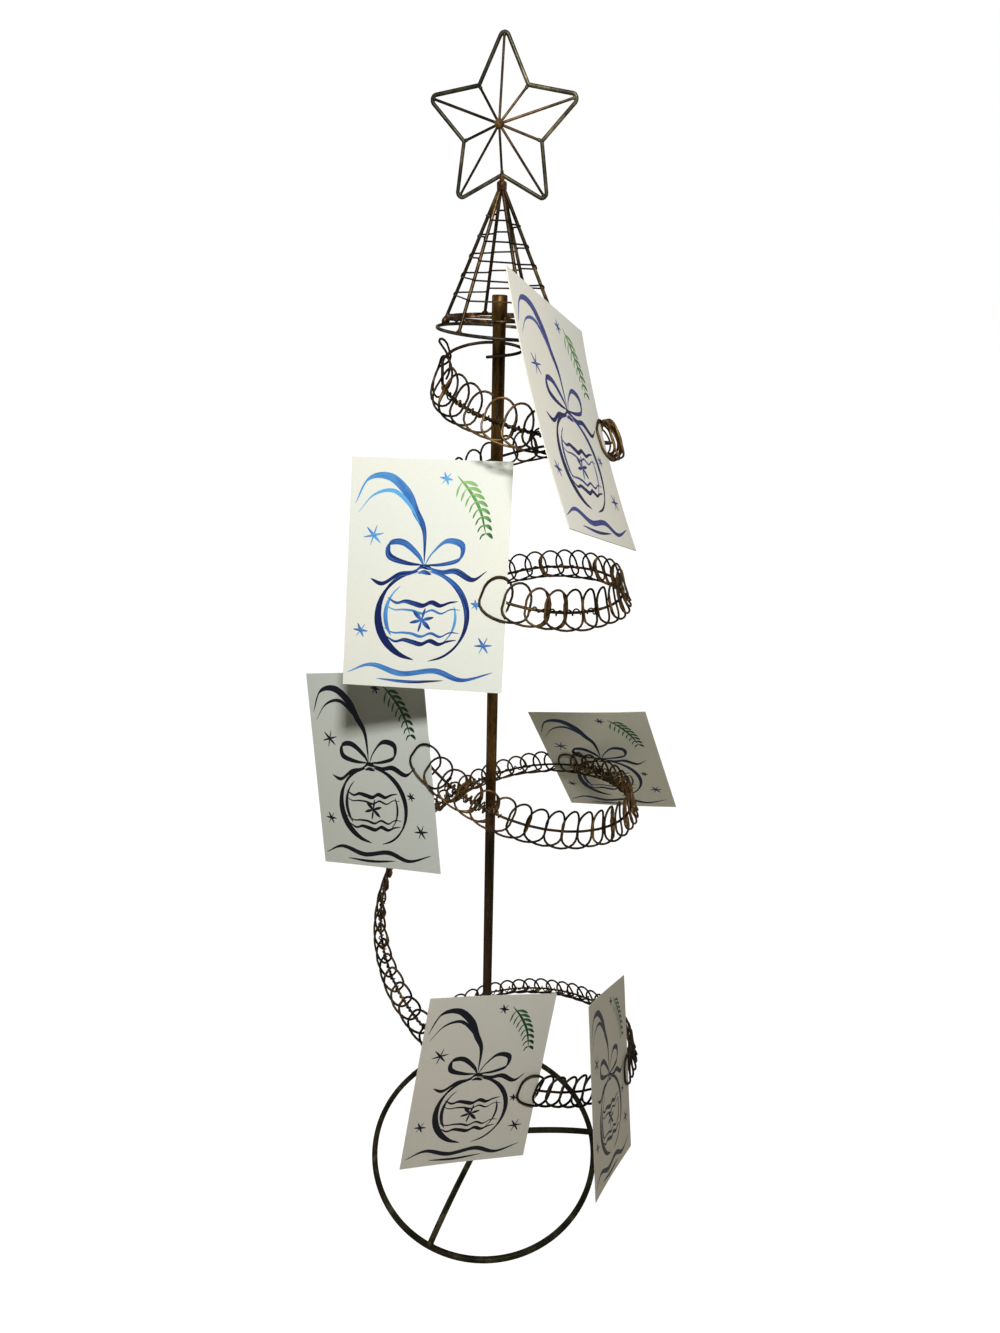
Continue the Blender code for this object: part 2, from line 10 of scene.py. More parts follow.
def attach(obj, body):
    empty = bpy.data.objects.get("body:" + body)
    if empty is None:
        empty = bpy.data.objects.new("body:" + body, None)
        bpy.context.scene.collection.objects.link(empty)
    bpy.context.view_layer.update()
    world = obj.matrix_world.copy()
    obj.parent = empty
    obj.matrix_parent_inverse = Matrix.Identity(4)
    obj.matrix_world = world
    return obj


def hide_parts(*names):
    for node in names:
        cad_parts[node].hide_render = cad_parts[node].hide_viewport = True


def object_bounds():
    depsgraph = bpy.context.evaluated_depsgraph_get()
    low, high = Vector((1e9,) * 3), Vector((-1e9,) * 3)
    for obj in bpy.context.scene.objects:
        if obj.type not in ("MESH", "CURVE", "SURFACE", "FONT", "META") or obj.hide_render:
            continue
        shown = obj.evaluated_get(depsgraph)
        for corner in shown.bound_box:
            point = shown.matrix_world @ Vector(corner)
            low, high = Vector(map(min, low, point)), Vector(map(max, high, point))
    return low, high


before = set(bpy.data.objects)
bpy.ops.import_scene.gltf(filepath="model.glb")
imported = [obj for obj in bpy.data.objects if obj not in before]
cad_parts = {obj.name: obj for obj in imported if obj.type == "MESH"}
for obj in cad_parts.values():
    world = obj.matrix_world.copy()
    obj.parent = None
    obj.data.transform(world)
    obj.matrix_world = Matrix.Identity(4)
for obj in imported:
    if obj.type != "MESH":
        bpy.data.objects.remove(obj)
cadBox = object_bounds()
poleFoot = array([-0.0187, 0.0188, 0.0])  # where the pole meets the floor
upwards = array([0.0, 0.0, 1.0])
gap = 0.0003  # between pieces that touch


# Each vector divided by its length
def unit(vectors):
    return vectors / np.linalg.norm(vectors, axis=-1, keepdims=True)


# Points round the pole: (radius * cos azimuth, radius * sin azimuth, height)
def around(radius, azimuth, height):
    turn = radians(azimuth)
    return stack(np.broadcast_arrays(radius * cos(turn), radius * sin(turn), height), -1)


# Even angles of a full turn
def roundTurn(count):
    return 2 * np.pi * arange(count) / count


# Length from the start to each point: the sum of the distances so far
def lengthsAlong(path):
    return concatenate([[0.0], np.cumsum(np.linalg.norm(np.diff(path, axis=0), axis=1))])


# Rows read at given lengths, straight between the rows at the stations
def readAt(lengths, stations, rows):
    return stack([np.interp(lengths, stations, rows[:, k]) for k in range(3)], 1)


# Smooth curve through rows, read at places counted in rows: a cubic between each pair with their mean
# slopes, where "before" and "after" stand in for the rows past the ends
def curveAt(place, rows, before, after):
    rows = concatenate([[before], rows, [after]])
    i = np.clip(np.floor(place), 0, len(rows) - 4).astype(int)
    t = place - i
    a, b, c, d = (rows[i.ravel() + k] for k in range(4))
    return (2 * b + (c - a) * t + (2 * a - 5 * b + 4 * c - d) * t ** 2 + (3 * b - a - 3 * c + d) * t ** 3) / 2


# Every inner point averaged with its neighbours: (before + 2 * own + after) / 4
def smoothed(path, times):
    for _ in range(times):
        path = concatenate([path[:1], (path[:-2] + 2 * path[1:-1] + path[2:]) / 4, path[-1:]])
    return path


# Extra points a step apart on the straight stretches keep a bent wire round
def evenly(path, closed, step):
    if closed:
        path = concatenate([path, path[:1]])
    lengths = lengthsAlong(path)
    fine = np.unique(concatenate([lengths, arange(0, lengths[-1], step)]))
    fine = fine[concatenate([[True], np.diff(fine) > step * 0.08])]
    points = readAt(fine, lengths, path)
    return points[:-1] if closed else points


# Quads between neighbouring rows of points, and one face over each open end. They face away from a
# tube's path; a turned profile runs the other way, so its faces are flipped
def skin(rows, columns, closeRows=False, flipped=False):
    i = arange(rows if closeRows else rows - 1)[:, None] * columns
    j = arange(columns)
    nextRow, nextColumn = (i + columns) % (rows * columns), (j + 1) % columns
    corners = stack([i + j, nextRow + j, nextRow + nextColumn, i + nextColumn], -1)
    faces = corners.reshape(-1, 4).tolist()
    if not closeRows:
        faces += [list(range(columns)), list(range((rows - 1) * columns, rows * columns))[::-1]]
    return [face[::-1] for face in faces] if flipped else faces


domeSteps = radians([70.0, 40.0, 15.0])  # the rows of a domed end, from its tip


# The first and the last row repeated for the domed ends
def padded(rows):
    return concatenate([rows[:1].repeat(len(domeSteps), 0), rows, rows[-1:].repeat(len(domeSteps), 0)])


# Tube: centre + radius * (cos turn * side + sin turn * lift), with side square to the run and to
# "across"; at an open end the radius falls as a quarter circle, so the end is domed
def tube(path, radius, across=upwards, sides=12, closed=False, dome=1.0):
    path = np.asarray(path, float)
    radius = np.broadcast_to(np.asarray(radius, float), len(path))
    across = np.broadcast_to(across, path.shape)
    ahead, behind = np.roll(path, -1, 0), np.roll(path, 1, 0)
    if not closed:
        ahead[-1], behind[0] = 2 * path[-1] - path[-2], 2 * path[0] - path[1]
    run = unit(ahead - behind)
    if not closed:
        reach, narrow = sin(domeSteps)[:, None] * dome, cos(domeSteps)
        head, tail = path[0] - run[0] * radius[0] * reach, path[-1] + run[-1] * radius[-1] * reach
        path = concatenate([head, path, tail[::-1]])
        radius = concatenate([radius[0] * narrow, radius, radius[-1] * narrow[::-1]])
        run, across = padded(run), padded(across)
    side = unit(cross(run, across))
    lift = cross(side, run)
    turn = roundTurn(sides)[:, None]
    ways = side[:, None] * cos(turn) + lift[:, None] * sin(turn)
    return (path[:, None] + radius[:, None, None] * ways).reshape(-1, 3), skin(len(path), sides, closed)


# Turned shape: each (radius, height) of the profile carried round the upright axis
def turned(profile, sides=48):
    profile = np.asarray(profile, float)
    points = around(profile[:, :1], np.degrees(roundTurn(sides)), profile[:, 1:])
    return points.reshape(-1, 3), skin(len(profile), sides, flipped=True)


# Bead of braze: centre - half length * cos polar * run + half width * sin polar * (cos turn * side
# + sin turn * lift), times a lump that waves round it
def bead(centre, run, length, width, seed, sides=10, rings=7):
    run = unit(np.asarray(run, float))
    side = unit(cross(run, upwards + 0.01))
    polar, turn = linspace(0.12, np.pi - 0.12, rings)[:, None], roundTurn(sides)
    lump = 1 + 0.10 * sin(3 * turn + seed) * sin(2 * polar + seed * 1.7)
    sizes = (-length * cos(polar), width * sin(polar) * cos(turn), width * sin(polar) * sin(turn))
    shape = stack(np.broadcast_arrays(*sizes), -1).reshape(-1, 3) / 2 * lump.reshape(-1, 1)
    return centre + shape @ stack([run, side, cross(side, run)]), skin(rings, sides)


# Several shapes as one: each one's faces count on from the points before it
def together(shapes):
    points, faces, start = [], [], 0
    for shapePoints, shapeFaces in shapes:
        points.append(shapePoints)
        faces += [[k + start for k in face] for face in shapeFaces]
        start += len(shapePoints)
    return concatenate(points), faces


# New object in the scene, for a mesh, lamp or camera
def linked(name, data):
    thing = bpy.data.objects.new(name, data)
    bpy.context.scene.collection.objects.link(thing)
    return thing


# A finished piece has its place in its mesh, and rides on a body of the frame
def addPiece(name, shape, material, body, nodes=(), smooth=True):
    points, faces = shape
    mesh = bpy.data.meshes.new(name)
    mesh.from_pydata((points + poleFoot).tolist(), [], faces)
    mesh.polygons.foreach_set("use_smooth", np.full(len(mesh.polygons), smooth))
    mesh.materials.append(material)
    mesh.update()
    piece = linked(name, mesh)
    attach(piece, body)
    if nodes:
        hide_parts(*nodes)
    return piece


# Names of the frame's nodes that are counted from 1
def counted(name, count):
    return [f"{name}_{number + 1}" for number in range(count)]


# Inputs by name or number: a socket is linked, any other value is set
def feed(tree, node, inputs):
    for key, source in inputs.items():
        if isinstance(source, bpy.types.NodeSocket):
            tree.links.new(source, node.inputs[key])
        else:
            node.inputs[key].default_value = source


# New node with its inputs and settings
def nodeOf(tree, kind, inputs=(), **settings):
    node = tree.nodes.new("ShaderNode" + kind)
    for key, value in settings.items():
        setattr(node, key, value)
    feed(tree, node, dict(inputs))
    return node


# Colour ramp: straight between the (place, colour) stops
def rampOf(tree, stops, source):
    ramp = nodeOf(tree, "ValToRGB", {"Fac": source})
    while len(ramp.color_ramp.elements) < len(stops):
        ramp.color_ramp.elements.new(0.5)
    for element, (place, colour) in zip(ramp.color_ramp.elements, stops):
        element.position = place
        element.color = (*np.broadcast_to(colour, 3), 1.0)
    return ramp.outputs["Color"]


# Fractal noise of a scale, detail and roughness
def noiseOf(tree, place, scale, detail, roughness):
    inputs = {"Vector": place, "Scale": scale, "Detail": detail, "Roughness": roughness}
    return nodeOf(tree, "TexNoise", inputs).outputs["Fac"]


# low + (high - low) * (source - start) / (end - start), held between low and high
def rangeOf(tree, source, start, end, low, high, **settings):
    inputs = {"Value": source, "From Min": start, "From Max": end, "To Min": low, "To Max": high}
    return nodeOf(tree, "MapRange", inputs, **settings).outputs["Result"]


# A sum of its sources, such as their product or the larger one
def mathOf(tree, operation, *sources):
    return nodeOf(tree, "Math", enumerate(sources), operation=operation).outputs[0]


# Two colours blended by a factor
def mixOf(tree, kind, factor, first, second):
    inputs = {"Factor": factor, 6: first, 7: second}  # 6 and 7 are the two colours
    return nodeOf(tree, "Mix", inputs, data_type="RGBA", blend_type=kind).outputs[2]


# New material with its node tree and shader
def newMaterial(name):
    material = bpy.data.materials.new(name)
    material.use_nodes = True
    return material, material.node_tree, material.node_tree.nodes["Principled BSDF"]


# Old bronze lacquer: dark, warm and rubbed patches, times fine grain that also dents it. The dark tint
# keeps the sides of a round wire dark, and a mark along a wire warms it to copper, partly real wear and
# partly painted glints where the lamp catches the wire
def bronzeFinish(name, dark, warm, rubbed, patchSize=55.0, stretch=(1, 1, 1), shine=0.36, metal=0.8,
                 wearAndGlintColour=None):
    material, tree, shader = newMaterial(name)
    place = nodeOf(tree, "TexCoord").outputs["Object"]
    place = nodeOf(tree, "Mapping", {"Vector": place, "Scale": stretch}).outputs["Vector"]
    patches = noiseOf(tree, place, patchSize, 5.0, 0.62)
    grain = noiseOf(tree, place, patchSize * 16, 3.0, 0.6)
    colour = rampOf(tree, [(0.40, dark), (0.55, warm), (0.70, rubbed)], patches)
    if wearAndGlintColour:
        wearAndGlint = nodeOf(tree, "Attribute", attribute_name="wearAndGlint", attribute_type="GEOMETRY").outputs["Fac"]
        patchy = mathOf(tree, "MULTIPLY", wearAndGlint, rangeOf(tree, patches, 0.38, 0.58, 0, 1))
        colour = mixOf(tree, "MIX", patchy, colour, (*wearAndGlintColour, 1.0))
    speckle = rampOf(tree, [(0.35, 0.60), (0.65, 1.0)], grain)
    dents = nodeOf(tree, "Bump", {"Height": grain, "Strength": 0.3, "Distance": 0.0002}).outputs["Normal"]
    feed(tree, shader, {
        "Base Color": mixOf(tree, "MULTIPLY", 1.0, colour, speckle),
        "Roughness": rangeOf(tree, patches, 0, 1, shine - 0.08, shine + 0.20), "Normal": dents,
        "Metallic": metal, "Specular IOR Level": 0.2, "Specular Tint": (0.30, 0.24, 0.16, 1.0)})
    return material


finishes = {
    "wire": dict(dark=(0.014, 0.011, 0.008), warm=(0.040, 0.027, 0.015), rubbed=(0.15, 0.090, 0.038)),
    # loop: its extra copper colour is partly real wear and partly painted glints
    "loop": dict(dark=(0.011, 0.010, 0.007), warm=(0.027, 0.021, 0.012), rubbed=(0.10, 0.066, 0.032),
                 patchSize=38.0, wearAndGlintColour=(0.25, 0.145, 0.060)),
    "rib": dict(dark=(0.016, 0.013, 0.009), warm=(0.060, 0.040, 0.020), rubbed=(0.26, 0.165, 0.070)),
    "ring": dict(dark=(0.020, 0.018, 0.014), warm=(0.055, 0.050, 0.038), rubbed=(0.20, 0.175, 0.13)),
    "base": dict(dark=(0.010, 0.010, 0.006), warm=(0.024, 0.022, 0.012), rubbed=(0.085, 0.072, 0.038)),
    "poleLow": dict(dark=(0.014, 0.010, 0.006), warm=(0.040, 0.026, 0.013), rubbed=(0.090, 0.055, 0.026),
                    stretch=(1, 1, 0.12)),
    "poleHigh": dict(dark=(0.024, 0.011, 0.003), warm=(0.090, 0.049, 0.013), rubbed=(0.23, 0.145, 0.045),
                     stretch=(1, 1, 0.20)),
    "star": dict(dark=(0.026, 0.025, 0.017), warm=(0.062, 0.056, 0.035), rubbed=(0.20, 0.17, 0.10)),
    "braze": dict(dark=(0.038, 0.022, 0.009), warm=(0.150, 0.082, 0.029), rubbed=(0.40, 0.230, 0.080),
                  patchSize=140.0, shine=0.46, metal=0.7),
    "binding": dict(dark=(0.022, 0.016, 0.008), warm=(0.085, 0.055, 0.020), rubbed=(0.30, 0.200, 0.075),
                    patchSize=120.0),
    # joint: its bright copper patches are partly braze and partly painted glints on the joints
    "joint": dict(dark=(0.018, 0.012, 0.008), warm=(0.060, 0.034, 0.017), rubbed=(0.40, 0.200, 0.085),
                  patchSize=150.0),
}
bronze = {name: bronzeFinish(name + "Bronze", **values) for name, values in finishes.items()}
print("finishes made")

hair = 0.0001  # some wires are drawn this much slimmer or thicker than the frame's

# Base: ring, three arched spokes with their weld beads, and the pole's foot

base = {"radius": 0.1155, "ringWire": 0.0060, "spokeWire": 0.0058, "firstSpoke": 3.0, "rise": 0.0105,
        "overhang": 0.0018, "footBottom": 0.0140, "footHeight": 0.0260, "footRadius": 0.0064,
        "footBore": 0.0042, "footChamfer": 0.0008, "footRim": 0.0009, "weldSize": (0.0088, 0.0046),
        "weldInset": 0.0004, "weldRise": 0.0026, "endDome": 0.35}

ringMiddle = base["ringWire"] / 2
azimuths = linspace(0, 360, 144, endpoint=False)
baseRing = tube(around(base["radius"], azimuths, ringMiddle - hair), ringMiddle - hair, sides=20, closed=True)
addPiece("baseRing", baseRing, bronze["base"], "stand", ["base_ring"])

seat = base["ringWire"] * cos(np.pi / 10) + base["spokeWire"] / 2 + gap
for number, node in enumerate(counted("base_spoke", 3)):
    azimuth = base["firstSpoke"] + 120 * number
    reach = linspace(base["footRadius"] + gap, base["radius"] + base["overhang"], 40)
    fall = np.minimum(reach / base["radius"], 1) ** 3
    spokePath = around(reach, azimuth, seat + base["rise"] * (1 - fall))
    spoke = tube(spokePath, base["spokeWire"] / 2, sides=18, dome=base["endDome"])
    weldAt = around(base["radius"] - base["weldInset"], azimuth, ringMiddle + base["weldRise"])
    weld = bead(weldAt, around(1.0, azimuth + 90, 0.0), *base["weldSize"], number)
    addPiece(f"baseSpoke{number + 1}", together([spoke, weld]), bronze["base"], "stand", [node])

foot, chamfer, rim = base["footRadius"], base["footChamfer"], base["footRim"]
footLow, footHigh = base["footBottom"], base["footBottom"] + base["footHeight"]
poleFootSocket = turned([(0.0006, footLow), (foot - chamfer, footLow), (foot, footLow + chamfer),
                         (foot, footHigh - rim), (foot - rim, footHigh), (base["footBore"], footHigh)])
addPiece("poleFootSocket", poleFootSocket, bronze["base"], "stand", ["pole_socket"])
print("base made")

# Pole: two tubes, the upper one a little wider, with rolled ends at the joint and an open top

pole = {"lowRadius": 0.0041, "highRadius": 0.0042, "bore": 0.0026, "foot": 0.0163, "joint": 0.415,
        "top": 0.8286}

lowR, highR, joint = pole["lowRadius"], pole["highRadius"], pole["joint"]
lowLevels = linspace(pole["foot"] + 0.002, joint - 0.002, 60)
lowProfile = [(lowR - 0.0005, pole["foot"])] + [(lowR, z) for z in lowLevels] + [
    (lowR - 0.0004, joint - 0.0003), (pole["bore"], joint - 0.0003)]
addPiece("poleLower", turned(lowProfile), bronze["poleLow"], "stand", ["pole_lower", "pole_spigot"])
highLevels = linspace(joint + 0.0022, pole["top"] - 0.0006, 60)
highProfile = [(pole["bore"], joint + gap), (highR - 0.0003, joint + gap), (highR, joint + 0.0010)] + [
    (highR, z) for z in highLevels] + [(highR - 0.0004, pole["top"]), (pole["bore"], pole["top"])]
addPiece("poleUpper", turned(highProfile), bronze["poleHigh"], "stand", ["pole_upper"])
print("pole made")

# Spiral: spine wire from a hook round the pole down to the base ring, with the looped wire on it

spiral = {
    "offset": 0.0168, "topRadius": 0.052, "bottomRadius": 0.132, "flare": 1.4, "firstAngle": 90.0,
    "shares": (0.9643, 0.9136, 0.8677, 0.7832, 0.7434, 0.5962, 0.4888, 0.3053, 0.0990, 0.0241),
    "coilAngles": (192.0, 1554.1), "coilStep": 9.0, "fullTurns": 1440.0, "endAngles": (129.0, 132.0, 135.0),
    "leanTop": 24.0, "leanBottom": 13.0, "spineWire": 0.0018, "loopWire": 0.0015, "loops": 168,
    "loopWidth": 0.0165, "openWidth": 0.0205, "loopHeight": 0.0262, "loopRise": 0.0015, "uneven": 0.035,
    "loopDepth": 0.0021, "loopCup": 0.0022, "loopsStart": 0.0875, "loopsEnd": 0.0605, "pointsPerLoop": 24,
    "gripAt": 0.35, "gripSpread": 0.55, "bigLoops": 14, "bigShare": 0.6, "underStretch": 0.22,
    "underFlat": 0.62, "twist": 0.0048, "twistAt": 14.6, "twistSpread": 2.4, "loopSides": 8,
    "heavyFrom": (0, 30, 66, 90, 116, 146, 168), "heavyShare": (1.0, 1.08, 1.03, 1.16, 1.26, 1.36, 1.36),
}
hook = highR + spiral["spineWire"] / 2 + gap
leadIn = [(-0.0075, -hook, 0.7935), (0.0, -hook, 0.7942), (0.0080, -hook - 0.0001, 0.7951),
          (0.0140, -0.0036, 0.7964), (0.0162, 0.0, 0.7976), (0.0140, 0.0036, 0.7990),
          (0.0080, hook + 0.0001, 0.8004), (0.0, hook, 0.8014), (-0.0100, 0.0062, 0.8012),
          (-0.0200, 0.0076, 0.7994), (-0.0290, 0.0068, 0.7964), (-0.0362, 0.0016, 0.7912)]
leadOut = [(-0.0540, 0.1165, 0.0530), (-0.0625, 0.1100, 0.0350), (-0.0685, 0.1030, 0.0190),
           (-0.0722, 0.0962, 0.0100)]


# Height of the coil at an angle: a smooth curve through the half-turn heights
def spiralHeight(angle):
    heights = pole["top"] * array(spiral["shares"])
    return curveAt((angle - spiral["firstAngle"]) / 180.0, heights, heights[0], heights[-1])


# Lead-in, then the coil with radius = top + (bottom - top) * share to the power of the flare, then
# lead-out on to the base ring
def spineRoute():
    angle = arange(*spiral["coilAngles"], spiral["coilStep"])
    share = (angle - spiral["firstAngle"]) / spiral["fullTurns"]
    radius = spiral["topRadius"] + (spiral["bottomRadius"] - spiral["topRadius"]) * share ** spiral["flare"]
    coil = around(radius, angle, spiralHeight(angle)) + (spiral["offset"], 0, 0)
    ringTop = base["ringWire"] + spiral["spineWire"] / 2 + gap
    onRing = around(base["radius"], array(spiral["endAngles"]), ringTop)
    return concatenate([leadIn, coil, leadOut, onRing])


route = spineRoute()
stations = lengthsAlong(route)
tangents = unit(np.gradient(route, stations, axis=0))


# Place, run, up and outwards of the strip at lengths along the spine: up = cos lean * upwards - sin
# lean * radial, with the lean changing evenly down the spine
def stripFrames(lengths):
    middle, run = readAt(lengths, stations, route), unit(readAt(lengths, stations, tangents))
    radial = unit(middle * (1, 1, 0) - (spiral["offset"], 0, 0))
    share = np.clip(lengths / stations[-1], 0, 1)[:, None]
    lean = radians(spiral["leanTop"] + (spiral["leanBottom"] - spiral["leanTop"]) * share)
    up = cos(lean) * upwards - sin(lean) * radial
    outwards = unit(cross(run, up))
    return middle, run, cross(outwards, run), outwards


# Each card's paper colour holds painted shade, and so does its share of ink: one stock and one print, painted
# darker on the cards that the lamp reaches less
cardKeys = ("name", "loop", "share", "facing", "lean", "roll", "bow", "middle", "paperWithShade", "inkShade")
cards = [dict(zip(cardKeys, values)) for values in (
    ("card1", 12, 0.0984, 338.4, 26.3, 24.6, 0.0005, (0.04062, -0.07233, 0.76651), (0.83, 0.81, 0.72), 0.60),
    ("card2", 36, 0.2384, 261.0, 23.7, -1.0, 0.0010, (-0.04567, -0.05834, 0.66574), (0.88, 0.89, 0.80), 0.0),
    ("card3", 72, 0.4376, 239.3, 15.3, -14.6, 0.0010, (-0.08982, -0.04695, 0.50651), (0.77, 0.80, 0.73), 1.0),
    ("card4", 98, 0.5827, 72.6, 24.6, 13.6, 0.0015, (0.10652, 0.07433, 0.43558), (0.73, 0.72, 0.60), 0.93),
    ("card5", 132, 0.7688, 287.2, 12.5, 13.8, 0.0015, (-0.00920, -0.12711, 0.27001), (0.86, 0.84, 0.75), 1.0),
    ("card6", 142, 0.8194, 337.6, 15.5, 29.6, 0.0020, (0.10306, -0.09376, 0.22417), (0.66, 0.62, 0.50), 1.0))]
cards[0].update({"curl": 0.0030, "tint": (1.7, 0.62, 0.9)})
cardSize = {"width": 0.105, "height": 0.148, "thickness": 0.0006, "flat": 0.040}


# A card's axes: outwards by its facing and lean, and along = cos roll * level - sin roll * upright
def cardAxes(card):
    facing, lean, roll = (radians(card[key]) for key in ("facing", "lean", "roll"))
    outwards = array([cos(facing) * cos(lean), sin(facing) * cos(lean), sin(lean)])
    level = unit(cross(upwards, outwards))
    upright = cross(outwards, level)
    along = level * cos(roll) - upright * sin(roll)
    return along, cross(outwards, along), outwards


# How far a sheet stands outwards: bow * (share past the flat part) squared towards its free side, and
# curl * (rise / half height) squared
def cardBow(card, across, rise):
    share = np.clip((cardSize["width"] / 2 - across - cardSize["flat"])
                    / (cardSize["width"] - cardSize["flat"]), 0, 1)
    return card["bow"] * share ** 2 + card.get("curl", 0.0) * (rise / (cardSize["height"] / 2)) ** 2


# Length along the spine of a loop's middle: even between the loops that grip cards
def loopStation(place):
    total = stations[-1]
    loops = [0, *(card["loop"] for card in cards), spiral["loops"]]
    lengths = [spiral["loopsStart"], *(card["share"] * total for card in cards), total - spiral["loopsEnd"]]
    return np.interp(place, loops, lengths)


# The wire's radius along the loops: it is heavier in the lower turns
def loopThick(place):
    return spiral["loopWire"] / 2 * np.interp(place, spiral["heavyFrom"], spiral["heavyShare"])


# How wire passes a card, in loops after the one that grips it: through at the slit, then in front for
# a few loops. The push fades past the sheet's edge, and is for wire within a reach of the sheet
passing = {"slit": 0.062, "climb": 0.045, "climbing": 0.3, "inFront": 6, "edge": 0.001, "fade": 0.007,
           "within": 0.02}


# Wire near a sheet is moved square to it, to behind it before the slit and in front after it, until it
# stands clear by half the sheet, the gap and its own radius
def besideCards(wirePath, place):
    for card in cards:
        along, upright, outwards = cardAxes(card)
        offset = wirePath - array(card["middle"])
        across, rise = offset @ along, offset @ upright
        off = offset @ outwards - cardBow(card, across, rise)
        outside = np.hypot(np.maximum(np.abs(across) - cardSize["width"] / 2, 0),
                           np.maximum(np.abs(rise) - cardSize["height"] / 2, 0))
        past = place - card["loop"]
        through = past - passing["slit"]
        clear = cardSize["thickness"] / 2 + gap + loopThick(place)
        near = np.clip(1 - (outside - passing["edge"]) / passing["fade"], 0, 1)
        near = near * (np.abs(off) < passing["within"])
        behind = np.where(through < 0, near * np.minimum(-clear - off, 0), 0)
        before = np.where((through > 0) & (past < passing["inFront"]), near * np.maximum(clear - off, 0), 0)
        before = before * np.where(past < passing["climbing"], np.clip(through / passing["climb"], 0, 1), 1)
        wirePath = wirePath + outwards * (behind + before)[:, None]
    return wirePath


# Looped wire: along = station + half width * cos turn * (1 + stretch * -sin turn below the middle),
# up = rise + half height * sin turn, with a power of sin below so that the undersides run into one
# line, depth = cup * sin squared - (depth + twist) * cos. Loops at cards and at the top are wider
def loopedWire():
    perLoop = spiral["pointsPerLoop"]
    place = arange(spiral["loops"] * perLoop + 1) / perLoop
    turn = 2 * np.pi * place
    pitch = (stations[-1] - spiral["loopsStart"] - spiral["loopsEnd"]) / spiral["loops"]
    grips = sum(np.exp(-((place - card["loop"] - spiral["gripAt"]) / spiral["gripSpread"]) ** 2)
                for card in cards)
    opened = np.minimum(grips + spiral["bigShare"] * np.clip(1 - place / spiral["bigLoops"], 0, 1), 1)
    width = spiral["loopWidth"] + (spiral["openWidth"] - spiral["loopWidth"]) * opened
    sway = sin(place * 2.39) + 0.6 * sin(place * 5.13 + 1.0)  # no two loops are bent alike
    halfWidth = (width + pitch / 2) / 2 * (1 + spiral["uneven"] * sway)
    under = np.maximum(-sin(turn), 0)
    lengths = loopStation(place - 0.25) + halfWidth * cos(turn) * (1 + spiral["underStretch"] * under)
    middle, _, up, outwards = stripFrames(lengths)
    rounds = np.maximum(sin(turn), 0) - under ** spiral["underFlat"]
    halfHeight = spiral["loopHeight"] / 2 * (1 + spiral["uneven"] * sin(place * 1.7 + 2))
    rise = halfHeight * rounds + spiral["loopRise"]
    twist = spiral["twist"] * np.exp(-((place - spiral["twistAt"]) / spiral["twistSpread"]) ** 2)
    depth = spiral["loopCup"] * sin(turn) ** 2 - (spiral["loopDepth"] + twist) * cos(turn)
    wirePath = besideCards(middle + up * rise[:, None] + outwards * depth[:, None], place)
    inside = loopThick(place)[:, None] + hair  # no loop stands out past the frame's box
    low, high = array(cadBox) - poleFoot
    return np.clip(wirePath, low + inside, high - inside), outwards, place


loopPath, loopAcross, loopPlace = loopedWire()
spinePath = smoothed(readAt(linspace(0, stations[-1], 900), stations, route), 1)
addPiece("spiralSpine", tube(spinePath, spiral["spineWire"] / 2 + hair, sides=10), bronze["wire"], "stand",
         ["spiral_spine"])
loops = tube(loopPath, loopThick(loopPlace), loopAcross, sides=spiral["loopSides"])
spiralLoops = addPiece("spiralLoops", loops, bronze["loop"], "stand", ["spiral_loops"])

# Copper at these loops, partly worn through and partly painted glints where the lamp catches them:
# (loop, spread in loops, how much)
wearAndGlintLoops = ((3, 2.0, 0.2), (7, 1.2, 0.9), (9, 2.0, 0.3), (14, 2.2, 1.0), (24, 3.0, 0.2), (39, 2.2, 0.5),
             (46, 3.5, 0.35), (60, 3.0, 0.3), (72, 1.0, 0.05), (76, 1.6, 0.5), (88, 3.5, 0.5), (105, 4.0, 0.5),
             (115, 3.0, 0.3), (146, 3.0, 0.1))
wearAndGlint = padded(sum(amount * np.exp(-((loopPlace - loop) / spread) ** 2) for loop, spread, amount in wearAndGlintLoops))
marks = spiralLoops.data.attributes.new("wearAndGlint", "FLOAT", "POINT")
marks.data.foreach_set("value", np.repeat(np.minimum(wearAndGlint, 1.0), spiral["loopSides"]))

braze = {"every": 5, "picks": (1, 3), "sleeve": (0.10, 0.00040), "heavySleeve": (0.17, 0.00085),
         "clearOfCards": (-2, 1.5), "heavy": (15, 16, 38, 39, 47, 49, 53, 74, 75, 76, 84, 86, 88, 90, 104,
                                              105, 106, 107, 112, 113, 114, 116, 118)}


# Sleeve of braze along a loop's side, where it meets the next one: radius = the wire's + thick *
# sqrt(1 - 0.97 * share squared) * lumps
def brazeSleeve(place, seed, reach, thick):
    picked = np.abs(loopPlace - place) < reach
    share = linspace(-1, 1, np.count_nonzero(picked))
    lumps = 1 + 0.28 * sin(share * 9 + seed) + 0.16 * sin(share * 23 + seed * 3)
    radius = spiral["loopWire"] / 2 + thick * np.sqrt(1 - 0.97 * share ** 2) * lumps
    return tube(loopPath[picked], radius, loopAcross[picked], sides=9)


sleeves = []
beforeCard, afterCard = braze["clearOfCards"]
for number in range(2, spiral["loops"] - 1):
    if any(beforeCard < number - card["loop"] < afterCard for card in cards):
        continue
    if number in braze["heavy"]:
        sleeves.append(brazeSleeve(number, number, *braze["heavySleeve"]))
    elif number % braze["every"] in braze["picks"]:
        sleeves.append(brazeSleeve(number + 0.5 * (number % 2), number, *braze["sleeve"]))
addPiece("spiralBraze", together(sleeves), bronze["braze"], "stand", ())

